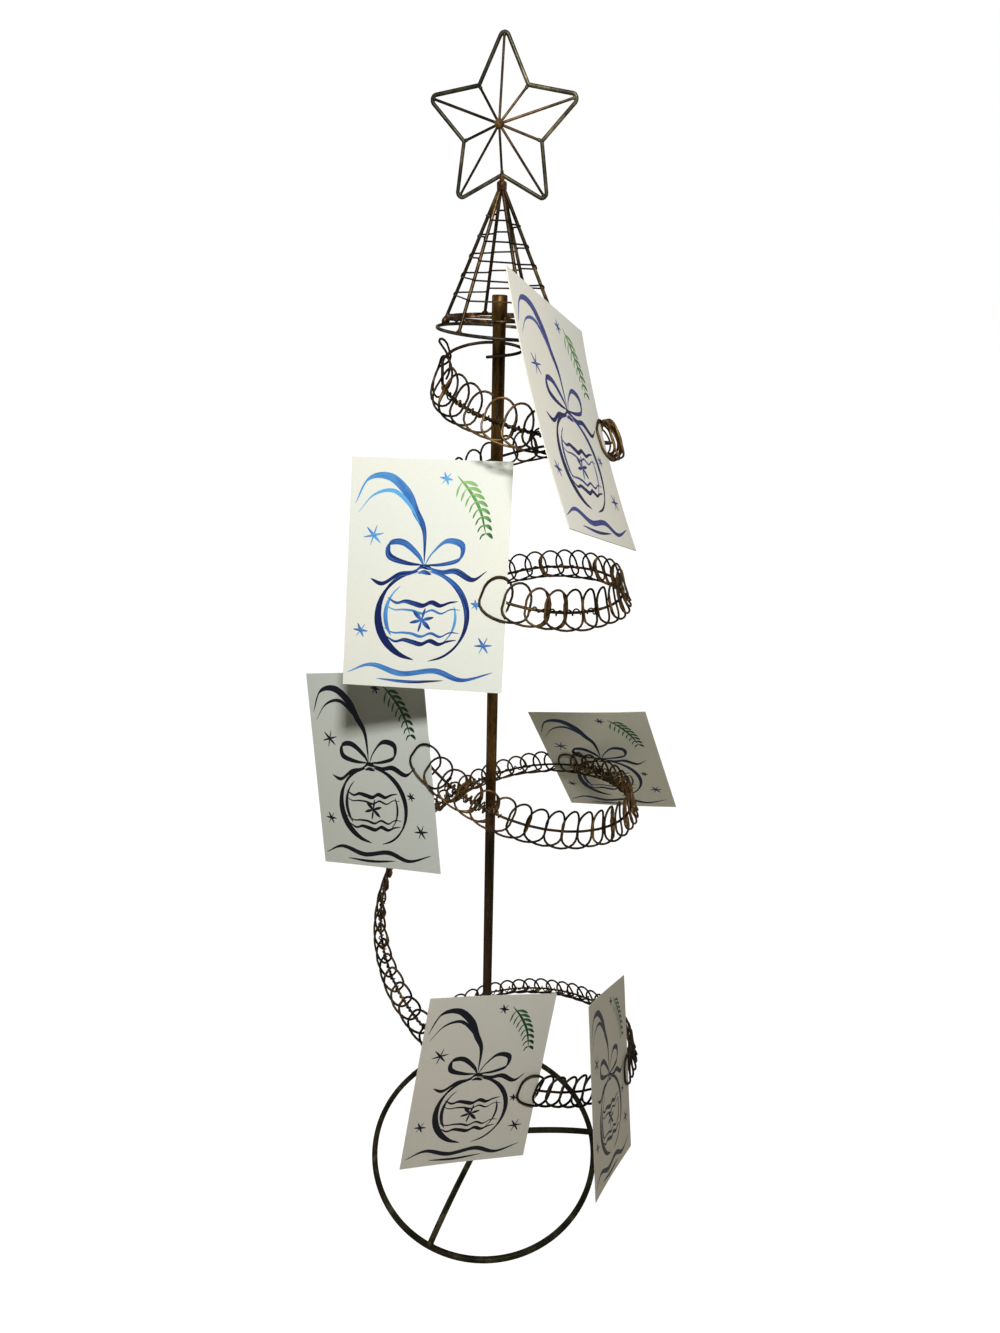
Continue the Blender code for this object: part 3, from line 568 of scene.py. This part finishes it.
# Bound stretches: (from loop, to loop, length of one turn, swing). Squeezed loops beside the topmost
# card: place, breadth, height and slant of the first one, and the step to each next one
binding = {
    "wire": 0.0011, "stretches": (
        (1.5, 9.0, 0.0040, 0.0014), (37.7, 41.5, 0.0060, 0.0017), (51.0, 66.0, 0.0110, 0.0013),
        (73.6, 77.0, 0.0036, 0.0024), (73.6, 76.4, 0.0050, 0.0036), (90.0, 96.8, 0.0040, 0.0021),
        (90.6, 96.6, 0.0070, 0.0044), (99.6, 111.0, 0.0090, 0.0016), (103.6, 107.8, 0.0040, 0.0028),
        (111.0, 119.0, 0.0042, 0.0019), (119.0, 126.0, 0.0034, 0.0012), (144.5, 153.0, 0.0044, 0.0018),
        (153.0, 166.0, 0.0080, 0.0022)),
    "squeezed": 6, "first": (13.3, 0.0088, 0.0126, 42.0), "step": (0.55, -0.0006, -0.0004, 9.0),
    "wave": 0.0012,
}


# Binding wire round the spine: middle + uneven swing * (cos phase * up + sin phase * outwards)
def bindingWire(first, last, pitch, swing, seed):
    lengths = arange(loopStation(first), loopStation(last), pitch / 14)
    middle, run, up, outwards = stripFrames(lengths)
    phase = 2 * np.pi * lengths / pitch + seed
    uneven = swing * (1 + 0.30 * sin(phase * 0.37 + seed) + 0.18 * sin(phase * 0.83 + 2 * seed))
    path = middle + up * (uneven * cos(phase))[:, None] + outwards * (uneven * sin(phase))[:, None]
    numbers = arange(spiral["loops"] + 1)
    path = besideCards(path, np.interp(lengths, loopStation(numbers), numbers))
    return tube(path, binding["wire"] / 2, run, sides=7)


# Squeezed loop: middle + height * sin turn * up + breadth * cos turn * slanted, and a small wave
# outwards; slanted = cos slant * run - sin slant * outwards
def squeezedLoop(place, breadth, height, slant, seed):
    turn = radians(arange(0, 360, 12.0))[:, None]
    middle, run, up, outwards = stripFrames(array([loopStation(place)]))
    slanted = cos(radians(slant)) * run - sin(radians(slant)) * outwards
    sway = 1 + 0.05 * sin(3 * turn + seed)
    path = (middle + up * (spiral["loopRise"] + height * sway * sin(turn))
            + slanted * breadth * sway * cos(turn) + outwards * binding["wave"] * sin(2 * turn + seed))
    path = besideCards(path, np.full(len(path), place))
    return tube(path, binding["wire"] / 2 + hair, outwards, sides=7, closed=True)


bound = [bindingWire(*stretch, 0.9 * k) for k, stretch in enumerate(binding["stretches"])]
for k in range(binding["squeezed"]):
    bound.append(squeezedLoop(*(array(binding["first"]) + k * array(binding["step"])), 1.3 * k))
addPiece("spiralBinding", together(bound), bronze["binding"], "stand", ())
print("spiral made,", spiral["loops"], "loops,", len(sleeves), "brazed places")

# Topper: cap on the pole, arms, inner ring, lower ring, ribs, winding and ferrule

cone = {"ringHeight": 0.8082, "ringRadius": 0.0394, "ringWire": 0.0021, "ringTilt": 3.5, "highSide": 164.0,
        "apex": 0.8900, "carrier": 0.8165, "carrierWire": 0.0018, "ribWire": 0.0020, "armsFrom": 50.0,
        "ribTops": (50.0, 110.0, 170.0, 230.0, 290.0, 350.0),
        "ribFeet": (50.0, 106.0, 156.0, 230.0, 292.0, 352.0), "shortRibs": 2,
        "windingWire": 0.0010, "windingBelow": 0.0130, "pitch": 0.0110, "turns": 5, "windingClear": -0.0002,
        "slip": 0.0007, "slipSway": 0.0005, "windingStep": 0.0011,
        "capDepth": 0.0165, "capRadius": 0.0049, "capRoof": 0.0008, "ferruleRadius": 0.0030,
        "ferruleHeight": 0.0070, "brazeAt": 192.0, "brazeSpread": 34.0, "brazeThick": 0.00055,
        "footBead": (0.0046, 0.0028), "ringBead": (0.0036, 0.0024), "starBead": (0.0052, 0.0032),
        "footBeadUp": 0.0008, "ringBeadShare": 0.975, "starBeadUp": 0.0006, "bigLump": (163, 0.0070, 0.0052),
        "lumps": ((178, 0.0052), (196, 0.0064), (214, 0.0048)), "lumpWidth": 0.0030, "lumpOut": 0.0004,
        "lumpDown": 0.0003}
star = {"tip": 0.0445, "notch": 0.0243, "wire": 0.0023, "spokeWire": 0.0015, "turn": -14.0, "hub": 0.0026,
        "raise": 0.0100, "tipRound": 0.0026, "notchRound": 0.0014, "footGap": 0.003, "wireStep": 0.0020,
        "tipBead": (0.0030, 0.0022), "hubBead": (0.0050, 0.0054)}

capTop = pole["top"] + gap + cone["capRoof"]
capBottom, capBore, capR = capTop - cone["capDepth"], highR + 0.0002, cone["capRadius"]
cap = turned([(0.0005, capTop - cone["capRoof"]), (capBore, capTop - cone["capRoof"]), (capBore, capBottom),
              (capR - 0.0002, capBottom), (capR, capBottom + 0.0002), (capR, capTop - 0.0005),
              (capR - 0.0006, capTop), (0.0005, capTop)])
addPiece("topperCap", cap, bronze["poleHigh"], "topper", ["topper_cap"])

fullTurn = linspace(0, 360, 96, endpoint=False)
tilt, highSide = radians(cone["ringTilt"]), cone["highSide"]
ringRise = cone["ringRadius"] * np.tan(tilt)


# Height of the lower ring's wire at an azimuth: it hangs higher at the back left, by the cosine
def ringHeight(azimuth):
    return cone["ringHeight"] + ringRise * cos(radians(azimuth - highSide))


# Tilted circle: radius * (cos turn * rising direction + sin turn * level direction)
rising = around(cos(tilt), highSide, sin(tilt))
levelWay = around(1.0, highSide + 90, 0.0)
ringTurn = radians(fullTurn)[:, None]
hoopPath = cone["ringRadius"] * (cos(ringTurn) * rising + sin(ringTurn) * levelWay)
coneRing = tube(hoopPath + (0, 0, cone["ringHeight"]), cone["ringWire"] / 2, sides=12, closed=True)
addPiece("coneRing", coneRing, bronze["ring"], "topper", ["cone_ring"])

carrierDepth = cone["apex"] - cone["carrier"]
steepest = cone["ringRadius"] / (cone["apex"] - cone["ringHeight"] + ringRise)
beside = ((cone["ribWire"] + cone["carrierWire"]) / 2 + gap) * np.hypot(1, steepest)
carrierRadius = carrierDepth * steepest - beside

# Braze lies thick on the carrier ring at its left, where the ribs and both rings come together
towardLeft = np.exp(-((fullTurn - cone["brazeAt"]) / cone["brazeSpread"]) ** 2)
runny = 1 + 0.35 * sin(radians(fullTurn * 11)) + 0.25 * sin(radians(fullTurn * 29) + 1)
carrierThick = cone["carrierWire"] / 2 + cone["brazeThick"] * towardLeft * runny
carrierRing = tube(around(carrierRadius, fullTurn, cone["carrier"]), carrierThick, sides=12, closed=True)
addPiece("coneCarrierRing", carrierRing, bronze["joint"], "topper", ["cone_carrier_ring"])
armEnds = linspace(cone["capRadius"] + gap, carrierRadius - cone["carrierWire"] / 2 - gap, 8)
arms = [tube(around(armEnds, cone["armsFrom"] + 120 * k, cone["carrier"]), cone["carrierWire"] / 2)
        for k in range(3)]
addPiece("coneArms", together(arms), bronze["joint"], "topper", counted("cone_arm", 3))

starMiddle = cone["apex"] + star["wire"] / 2 + gap + star["notch"] + star["footGap"]
ferruleTop = starMiddle - star["notch"] - star["wire"] / 2 - 2 * gap
ferruleBottom, ferruleR = ferruleTop - cone["ferruleHeight"], cone["ferruleRadius"]
ferrule, ferruleFaces = turned([
    (0.0003, ferruleBottom), (ferruleR * 0.84, ferruleBottom), (ferruleR * 0.98, ferruleBottom + 0.0012),
    (ferruleR, ferruleTop - ferruleR * 0.85), (ferruleR * 0.9, ferruleTop - ferruleR * 0.62),
    (ferruleR * 0.5, ferruleTop - ferruleR * 0.32), (0.0003, ferruleTop)], sides=28)
lumps = 1 + 0.07 * sin(5 * np.arctan2(ferrule[:, 1], ferrule[:, 0]) + ferrule[:, 2] * 900)
ferrule[:, :2] *= np.minimum(lumps, 1.02)[:, None]
addPiece("coneFerrule", (ferrule, ferruleFaces), bronze["joint"], "topper", ["cone_ferrule"])

ribTop = ferruleBottom - gap
slope = cone["ringRadius"] / (cone["apex"] - cone["ringHeight"])
ribEnds, ribParts, ribBeads = [], [], []
for number, azimuth in enumerate(cone["ribFeet"]):
    short = number < cone["shortRibs"]
    top = around((cone["apex"] - ribTop) * slope, cone["ribTops"][number], ribTop)
    foot = (around(carrierRadius, azimuth, cone["carrier"]) if short
            else around(cone["ringRadius"], azimuth, ringHeight(azimuth)))
    under = cone["carrierWire"] if short else cone["ringWire"]
    last = foot + unit(top - foot) * (under / 2 + gap)
    share = linspace(0, 1, 24)[:, None]
    sideways = around(1.0, azimuth + 90, 0.0)
    ribParts.append(tube(top + (last - top) * share, cone["ribWire"] / 2 + hair, sideways))
    ribBeads.append(bead(foot + unit(top - foot) * cone["footBeadUp"], sideways, *cone["footBead"], number))
    if not short:
        onCarrier = top + (foot - top) * (top[2] - cone["carrier"]) / (top[2] - foot[2])
        inwards = (cone["ringBeadShare"], cone["ringBeadShare"], 1.0)
        ribBeads.append(bead(onCarrier * inwards, sideways, *cone["ringBead"], number + 6))
    ribEnds.append((top, foot))
starBeadAt = (0.0, 0.0, ferruleTop + cone["starBeadUp"])
ribBeads.append(bead(starBeadAt, upwards + (0.02, 0, 0), *cone["starBead"], 4.0))

# Lumps of braze at the left: the big one lies between the rings, the others on the carrier ring
azimuth, length, width = cone["bigLump"]
lumpAt = around((carrierRadius + cone["ringRadius"]) / 2, azimuth, (cone["carrier"] + ringHeight(azimuth)) / 2)
ribBeads.append(bead(lumpAt, around(1.0, azimuth + 90, 0.0), length, width, azimuth))
for azimuth, length in cone["lumps"]:
    lumpAt = around(carrierRadius + cone["lumpOut"], azimuth, cone["carrier"] - cone["lumpDown"])
    ribBeads.append(bead(lumpAt, around(1.0, azimuth + 90, 0.0), length, cone["lumpWidth"], azimuth))
addPiece("coneRibs", together(ribParts), bronze["rib"], "topper", counted("cone_rib", 6))
addPiece("coneBeads", together(ribBeads), bronze["joint"], "topper", ())


# Winding: nearly straight from rib to rib, down by the pitch in each turn; on every rib it slips a
# little way down the outside, and the corners are smoothed
def windingPath():
    corner = arange(cone["turns"] * 6 + 1)
    height = cone["apex"] - cone["windingBelow"] - cone["pitch"] * corner / 6
    tops, feet = array(ribEnds)[corner % 6].transpose(1, 0, 2)
    off = ((cone["ribWire"] + cone["windingWire"]) / 2 + cone["windingClear"]) * np.hypot(1, slope)
    slip = cone["slip"] + cone["slipSway"] * sin(corner * 2.3)
    rows = []
    for level in (height + slip, height - slip):
        onRib = tops + (feet - tops) * ((tops[:, 2] - level) / (tops[:, 2] - feet[:, 2]))[:, None]
        rows.append(onRib + unit(onRib * (1, 1, 0)) * off)
    return smoothed(evenly(stack(rows, 1).reshape(-1, 3), False, cone["windingStep"]), 3)


winding = tube(windingPath(), cone["windingWire"] / 2, sides=8)
addPiece("coneWinding", winding, bronze["loop"], "topper", ["cone_winding"])
print("cone made")

# Star: a bent outline, ten spokes up to a raised hub, and small beads where they meet it


# Corners replaced by arcs, whose middles lie on the bisectors at radius / sin half angle
def roundedOutline(corners, radii, steps):
    before = unit(np.roll(corners, 1, 0) - corners)
    after = unit(np.roll(corners, -1, 0) - corners)
    half = np.arccos(np.sum(before * after, 1)) / 2
    middle = corners + unit(before + after) * (radii / sin(half))[:, None]
    start = corners + before * (radii / np.tan(half))[:, None] - middle
    end = corners + after * (radii / np.tan(half))[:, None] - middle
    share = linspace(0, 1, steps)[None, :, None]
    arcs = middle[:, None] + unit(start[:, None] * (1 - share) + end[:, None] * share) * radii[:, None, None]
    return arcs.reshape(-1, 3)


turnStar = radians(star["turn"])
starRight = array([cos(turnStar), sin(turnStar), 0.0])
starBack = array([-sin(turnStar), cos(turnStar), 0.0])
starCentre = array([0.0, 0.0, starMiddle])
edge = array([star["tip"] - star["notch"] * cos(radians(36)), star["notch"] * sin(radians(36))])
tipCut = star["tipRound"] * (1 / sin(np.arctan2(edge[1], edge[0])) - 1)
isTip = arange(10) % 2 == 0
starAngle = radians(36 * arange(10))[:, None]
starWays = sin(starAngle) * starRight + cos(starAngle) * upwards  # towards the tips and notches
corners = np.where(isTip, star["tip"] + tipCut, star["notch"])[:, None] * starWays
outline = roundedOutline(corners, np.where(isTip, star["tipRound"], star["notchRound"]), 7)
outline = evenly(outline, True, star["wireStep"]) + starCentre
addPiece("starOutline", tube(outline, star["wire"] / 2, starBack, closed=True), bronze["star"], "topper",
         ["star_outline"])

hub = starCentre - starBack * star["raise"]
spokes, tipBeads = [], []
for number in range(10):
    tip = starCentre + (star["tip"] if isTip[number] else star["notch"]) * starWays[number]
    away = unit(tip - hub)
    first = hub + away * (star["hub"] + gap)
    last = tip - away * (star["wire"] / 2 + gap + star["spokeWire"] / 4)
    path = first + (last - first) * linspace(0, 1, 16)[:, None]
    spokes.append(tube(path, star["spokeWire"] / 2, starBack + 0.01, sides=10))
    tipBeads.append(bead(last + away * 0.0002, away, *star["tipBead"], number, 8, 6))
addPiece("starSpokes", together(spokes), bronze["wire"], "topper", counted("star_spoke", 10))
addPiece("starBeads", together(tipBeads), bronze["star"], "topper", ())
starHub = bead(hub, starBack, *star["hubBead"], 2.0, 20, 12)
addPiece("starHub", starHub, bronze["braze"], "topper", ["star_hub"])
print("star made")

# Cards: a folded sheet each, with a brush drawing of a bauble, ribbon, fir sprig and snowflakes


# Paper: the card's paper colour, which holds its painted shade, with a faint cool wash in soft patches,
# times fine fibres that also dent it
def paperFinish(card):
    material, tree, shader = newMaterial(card["name"] + "Paper")
    place = nodeOf(tree, "TexCoord").outputs["Object"]
    fibres, wash = noiseOf(tree, place, 900.0, 4.0, 0.7), noiseOf(tree, place, 11.0, 2.0, 0.5)
    cool = array(card["paperWithShade"]) * (0.965, 0.99, 1.01)
    washed = rampOf(tree, [(0.40, card["paperWithShade"]), (0.62, cool)], wash)
    speck = rampOf(tree, [(0.30, 0.955), (0.60, 1.0)], fibres)
    dents = nodeOf(tree, "Bump", {"Height": fibres, "Strength": 0.18, "Distance": 0.0001}).outputs["Normal"]
    feed(tree, shader, {"Base Color": mixOf(tree, "MULTIPLY", 1.0, washed, speck), "Normal": dents,
                        "Roughness": 0.62, "Specular IOR Level": 0.3})
    return material


# Brush ink: the stroke's mesh gives length, width and depth of colour, so the bristle streaks run
# along the stroke; its colour goes by 0.75 * streaks + depth
def inkFinish(name, light, middle, dark):
    material, tree, shader = newMaterial(name)
    brush = nodeOf(tree, "Attribute", attribute_name="brush", attribute_type="GEOMETRY").outputs["Vector"]
    depth = nodeOf(tree, "SeparateXYZ", {"Vector": brush}).outputs["Z"]
    along = nodeOf(tree, "Mapping", {"Vector": brush, "Scale": (0.09, 2.6, 1.0)}).outputs["Vector"]
    inked = mathOf(tree, "MULTIPLY_ADD", noiseOf(tree, along, 1.0, 3.0, 0.6), 0.75, depth)
    colours = rampOf(tree, [(0.42, light), (0.80, middle), (12 / 13, dark)], inked)
    feed(tree, shader, {"Base Color": colours, "Roughness": 0.6, "Specular IOR Level": 0.1})
    return material


# Smooth line through a few points, read at even steps
def strokeLine(points, steps):
    points = np.asarray(points, float)
    place = linspace(0, len(points) - 1.0001, steps)[:, None]
    return curveAt(place, points, 2 * points[0] - points[1], 2 * points[-1] - points[-2])


# One stroke: half width = 0.66 * width * sin(pi * share) to the power of the swell * (0.3 + 0.7 * how
# far the run turns from a slanted nib); its colour is lighter towards the card's top
def strokeShape(points, width, depth, swell=0.7, nib=radians(55.0)):
    steps = max(14, 6 * len(points))
    line = strokeLine(points, steps)
    run = unit(np.gradient(line, axis=0))
    across = stack([-run[:, 1], run[:, 0]], 1)
    share = linspace(0, 1, steps)
    slant = np.abs(sin(np.arctan2(run[:, 1], run[:, 0]) - nib))
    halfWidth = 0.66 * width * np.maximum(sin(np.pi * share), 0.0) ** swell * (0.30 + 0.70 * slant) + 0.09
    beside = halfWidth[:, None] * (-1.0, -0.33, 0.33, 1.0)
    pooled = depth + (share - 0.5) * 0.25 - 0.0028 * line[:, 1]
    lengths = lengthsAlong(line)[:, None] + 40 * width
    brush = stack(np.broadcast_arrays(lengths, beside + depth * 7, pooled[:, None]), -1)
    return line[:, None] + across[:, None] * beside[..., None], brush


# Arc of a circle: centre + radius * (cos turn, sin turn)
def circleArc(centre, radius, fromAngle, toAngle, count=9):
    turn = radians(linspace(fromAngle, toAngle, count))
    return stack([centre[0] + radius * cos(turn), centre[1] + radius * sin(turn)], 1)


# The drawing, in millimetres from the card's middle: (points, width, depth of colour) of each stroke
# of the bauble, its bands and flower, the ribbon, ground and snowflakes, and of the fir sprig
def drawing():
    bauble, flower = (-2.0, -27.0), array([-2.0, -29.5])
    blue = [(circleArc(bauble, 29, 96, 262), 4.6, 0.62), (circleArc(bauble, 29.5, 84, -80), 3.4, 0.48),
            (circleArc(bauble, 24, 128, 214, 7), 3.0, 0.14), (circleArc(bauble, 22, 20, -48, 6), 2.0, 0.10)]
    for height, width, depth in ((-16, 2.6, 0.50), (-21, 1.2, 0.22), (-36, 1.4, 0.26), (-41, 2.4, 0.46)):
        x = linspace(-27, 23, 9) * (0.93 if height > -20 or height < -40 else 1.0)
        y = height - 3.2 * cos((x + 2) / 18) + 1.3 * sin(x * 0.42)
        blue.append((stack([x, y], 1), width, depth))
    for turn in radians(60 * arange(6) + 15):
        way = array([cos(turn), sin(turn)])
        blue.append(([flower, flower + 4 * way, flower + 8.2 * way], 2.0, 0.40))
    blue += [
        ([(-7, 3), (-2, 5.2), (4, 3.2)], 2.6, 0.60), ([(-6, 0.5), (-2, 1.6), (3, 0.2)], 2.2, 0.45),
        ([(-2, 5), (-6, 12), (-16, 20), (-25, 19), (-25, 11), (-14, 7), (-2, 6)], 3.4, 0.48),
        ([(-2, 5), (3, 14), (12, 22), (22, 20), (21, 11), (10, 7), (-2, 6)], 3.2, 0.42),
        ([(-3, 5), (-10, 1), (-19, -1), (-29, -7), (-37, -4)], 3.0, 0.55),
        ([(-1, 5), (9, 2), (19, 3), (30, -2), (39, 4)], 3.0, 0.50),
        ([(-49, 44), (-41, 60), (-27, 62), (-15, 52), (-9, 40), (-3, 28), (-2, 7)], 4.2, 0.46),
        ([(-47, 38), (-37, 50), (-24, 53), (-13, 44), (-6, 32)], 2.0, 0.12),
        ([(-50, -66), (-34, -60), (-14, -65), (8, -62), (26, -67), (46, -61)], 3.0, 0.16),
        ([(-30, -69), (-8, -70), (14, -68)], 1.6, 0.30)]
    for x, y, size in ((-36, 24, 7.0), (-42, -38, 5.0), (39, -44, 6.0), (33, -18, 3.6), (10, 62, 4.4)):
        for turn in radians(60 * arange(3) + 10 + size * 9):
            centre, arm = array([x, y]), size * array([cos(turn), sin(turn)])
            blue.append(([centre - arm, centre, centre + arm], 1.3, 0.24))
    stem = strokeLine([(17, 64), (26, 54), (33, 42), (37, 28)], 9)
    green = [(stem, 1.5, 0.55)]
    for number, point in enumerate(stem[1:]):
        for side in (-1, 1):
            lean = radians(-62 + side * 48 + number * -3)
            tip = point + (10.5 - 0.7 * number) * array([cos(lean), sin(lean)])
            green.append(([point, (point + tip) / 2 + (0.5 * side, 0.7), tip], 1.7, 0.30 + 0.04 * number))
    return blue, green


# The card's sheet: a thin closed strip of two leaves round a fold at the free side, bowed
def cardSheet(card):
    along, up, outwards = cardAxes(card)
    half, leaf, crack, slit = cardSize["width"] / 2, cardSize["thickness"] / 2, 0.00003, 0.012
    across = linspace(half - 0.0002, -half + 0.0003, 28)
    front = stack([across, np.full_like(across, leaf)], 1)
    fold = array([(-half + 0.00008, leaf * 0.75), (-half, 0.0), (-half + 0.00008, -leaf * 0.75)])
    back = front[::-1] * (1, -1)
    notch = array([(half, -leaf * 0.7), (half, -crack), (half - slit, -crack), (half - slit, crack),
                   (half, crack), (half, leaf * 0.7)])
    section = concatenate([front, fold, back, notch])
    rows = linspace(-cardSize["height"] / 2, cardSize["height"] / 2, 25)
    depth = section[:, 1] + cardBow(card, section[:, 0], rows[:, None])
    points = (array(card["middle"]) + rows[:, None, None] * up
              + section[:, :1] * along + depth[..., None] * outwards)
    return points.reshape(-1, 3), skin(len(rows), len(section))


# Strokes laid on a card: each lies a hair above the one before, and follows the sheet's bow
def drawOn(card, strokes, name, material, body, firstLayer):
    along, up, outwards = cardAxes(card)
    facing = -1.0 if card["name"] == "card4" else 1.0  # this one shows its drawing to the pole
    points, faces, brushes, start = [], [], [], 0
    for number, (line, width, depth) in enumerate(strokes):
        grid, brush = strokeShape(line, width, depth)
        x, y = np.moveaxis(grid * 0.001, -1, 0)[..., None]
        height = cardSize["thickness"] / 2 + 0.00002 + 0.0000018 * (number + firstLayer)
        lift = height * facing + cardBow(card, x * facing, y)
        points.append((card["middle"] + x * along * facing + y * up + lift * outwards).reshape(-1, 3))
        corner = (arange(len(grid) - 1)[:, None] * 4 + arange(3)).ravel() + start
        faces += stack([corner, corner + 4, corner + 5, corner + 1], 1).tolist()
        brushes.append(brush.reshape(-1, 3))
        start += len(grid) * 4
    piece = addPiece(name, (concatenate(points), faces), material, body, (), smooth=False)
    marks = piece.data.attributes.new("brush", "FLOAT_VECTOR", "POINT")
    marks.data.foreach_set("vector", concatenate(brushes).ravel())


blueStrokes, greenStrokes = drawing()
# Inks as the best-lit card shows them, and the same inks painted dark as shade for the cards in less light
inks = {
    "light": ((0.13, 0.46, 0.85), (0.040, 0.13, 0.46), (0.006, 0.016, 0.10)),
    "shadedInk": ((0.008, 0.010, 0.020), (0.004, 0.005, 0.009), (0.002, 0.002, 0.004)),
    "leafLight": ((0.36, 0.60, 0.22), (0.13, 0.36, 0.10), (0.03, 0.12, 0.05)),
    "shadedLeafInk": ((0.06, 0.15, 0.06), (0.020, 0.075, 0.028), (0.006, 0.025, 0.010)),
}


# Three depths of an ink: light + (shaded - light) * the card's share of painted shade, times its tint
def inkColours(card, light, shadedInk, tint):
    return tint * ((1 - card["inkShade"]) * array(inks[light]) + card["inkShade"] * array(inks[shadedInk]))


for card in cards:
    name, digit = card["name"], card["name"][-1]
    body = "greeting_card_" + digit
    addPiece(name, cardSheet(card), paperFinish(card), body, ["card_" + digit], smooth=False)
    blue = inkFinish(name + "Blue", *inkColours(card, "light", "shadedInk", array(card.get("tint", (1, 1, 1)))))
    drawOn(card, blueStrokes, name + "Drawing", blue, body, 0)
    green = inkFinish(name + "Green", *inkColours(card, "leafLight", "shadedLeafInk", 1))
    drawOn(card, greenStrokes, name + "Sprig", green, body, len(blueStrokes))
print("cards made,", len(blueStrokes) + len(greenStrokes), "strokes on each")

# Floor, light and camera

room = {"floor": 8.0, "floorLevel": -0.0004, "floorColour": (0.80, 0.74, 0.62, 1), "floorShare": 0.8,
        "glowReach": (0.3, 1.8), "glow": (1.27, 1.31), "world": 0.04, "worldColour": (1.0, 0.88, 0.62, 1)}
lamps = {
    "keyLamp": dict(place=(0.010, -0.567, 1.26), aim=(-0.04, 0.0, 0.60), size=0.10, power=6.45,
                    colour=(1.0, 0.99, 0.96)),
    "backLamp": dict(place=(-0.7, 1.4, 1.3), aim=(0, 0, 0.45), size=0.8, power=4.0),
}


# Seen directly or in a reflection the backdrop is white; otherwise it lights softly
def whiteWorld():
    world = bpy.data.worlds.new("studio")
    bpy.context.scene.world = world
    world.use_nodes = True
    tree = world.node_tree
    tree.nodes.clear()
    soft = nodeOf(tree, "Background", {"Color": room["worldColour"], "Strength": room["world"]})
    white = nodeOf(tree, "Background", {"Color": (1, 1, 1, 1), "Strength": 1.0})
    ray = nodeOf(tree, "LightPath").outputs
    seen = mathOf(tree, "MAXIMUM", ray["Is Camera Ray"], ray["Is Transmission Ray"])
    either = mathOf(tree, "MAXIMUM", seen, ray["Is Glossy Ray"])
    pick = nodeOf(tree, "MixShader", {"Fac": either, 1: soft.outputs[0], 2: white.outputs[0]})
    nodeOf(tree, "OutputWorld", {"Surface": pick.outputs[0]})


# Pale matt floor; where it is seen, a share of it glows up to the backdrop's white, more from afar
def paleFloor():
    size, level = room["floor"], room["floorLevel"]
    mesh = bpy.data.meshes.new("floor")
    corners = [(-size, -size, level), (size, -size, level), (size, size, level), (-size, size, level)]
    mesh.from_pydata(corners, [], [(0, 1, 2, 3)])
    material, tree, shader = newMaterial("floorPaint")
    feed(tree, shader, {"Base Color": room["floorColour"], "Roughness": 0.9})
    place = nodeOf(tree, "TexCoord").outputs["Object"]
    reach = nodeOf(tree, "VectorMath", {0: place}, operation="LENGTH").outputs["Value"]
    strength = rangeOf(tree, reach, *room["glowReach"], *room["glow"], interpolation_type="SMOOTHSTEP")
    glow = nodeOf(tree, "Emission", {"Color": (1, 1, 1, 1), "Strength": strength})
    ray = nodeOf(tree, "LightPath").outputs
    seen = mathOf(tree, "MAXIMUM", ray["Is Camera Ray"], ray["Is Glossy Ray"])
    share = mathOf(tree, "MULTIPLY", seen, room["floorShare"])
    pick = nodeOf(tree, "MixShader", {"Fac": share, 1: shader.outputs[0], 2: glow.outputs[0]})
    feed(tree, tree.nodes["Material Output"], {"Surface": pick.outputs[0]})
    mesh.materials.append(material)
    floor = linked("floor", mesh)


# Lamp or camera at a place, with its own axes along right, up and back
def standAt(name, data, place, right, up, back):
    holder = linked(name, data)
    holder.matrix_world = Matrix([[right[k], up[k], back[k], place[k]] for k in range(3)] + [[0, 0, 0, 1]])
    return holder


# Square lamp that faces its aim: back runs from the aim to its place, and right is level
def softLamp(name, place, aim, size, power, colour=(1, 1, 1)):
    lamp = bpy.data.lights.new(name, "AREA")
    lamp.size = size
    lamp.energy = power
    lamp.color = colour
    back = unit(array(place, float) - array(aim, float))
    right = unit(cross(upwards, back) + 1e-9)
    standAt(name, lamp, place, right, cross(back, right), back)


whiteWorld()
paleFloor()
for name, values in lamps.items():
    softLamp(name, **values)

# The camera's place was found from the ring, pole, star and cards. The focal length is in pixels of a
# picture 1333 high; the angles are in radians
shot = {"focal": 839.3, "pixels": 1333, "sensor": 36.0, "pitch": 0.4643, "roll": 0.0225, "yaw": 0.0392,
        "height": 0.8569, "back": 0.5718, "side": -0.0171, "near": 0.02, "far": 20.0}


# Camera axes: ahead from the yaw and pitch, then level and above turned by the roll
def photoCamera():
    data = bpy.data.cameras.new("photoCamera")
    data.sensor_fit = "AUTO"
    data.sensor_width = shot["sensor"]
    data.lens = shot["focal"] / shot["pixels"] * shot["sensor"]
    data.clip_start, data.clip_end = shot["near"], shot["far"]
    pitch, yaw, roll = shot["pitch"], shot["yaw"], shot["roll"]
    ahead = array([sin(yaw) * cos(pitch), cos(yaw) * cos(pitch), -sin(pitch)])
    level = array([cos(yaw), -sin(yaw), 0.0])
    above = cross(level, ahead)
    right = level * cos(roll) + above * sin(roll)
    up = above * cos(roll) - level * sin(roll)
    place = poleFoot + (shot["side"], -shot["back"], shot["height"])
    bpy.context.scene.camera = standAt("photoCamera", data, place, right, up, -ahead)


photoCamera()
bpy.context.scene.view_settings.view_transform = "Standard"
print("room and camera made")
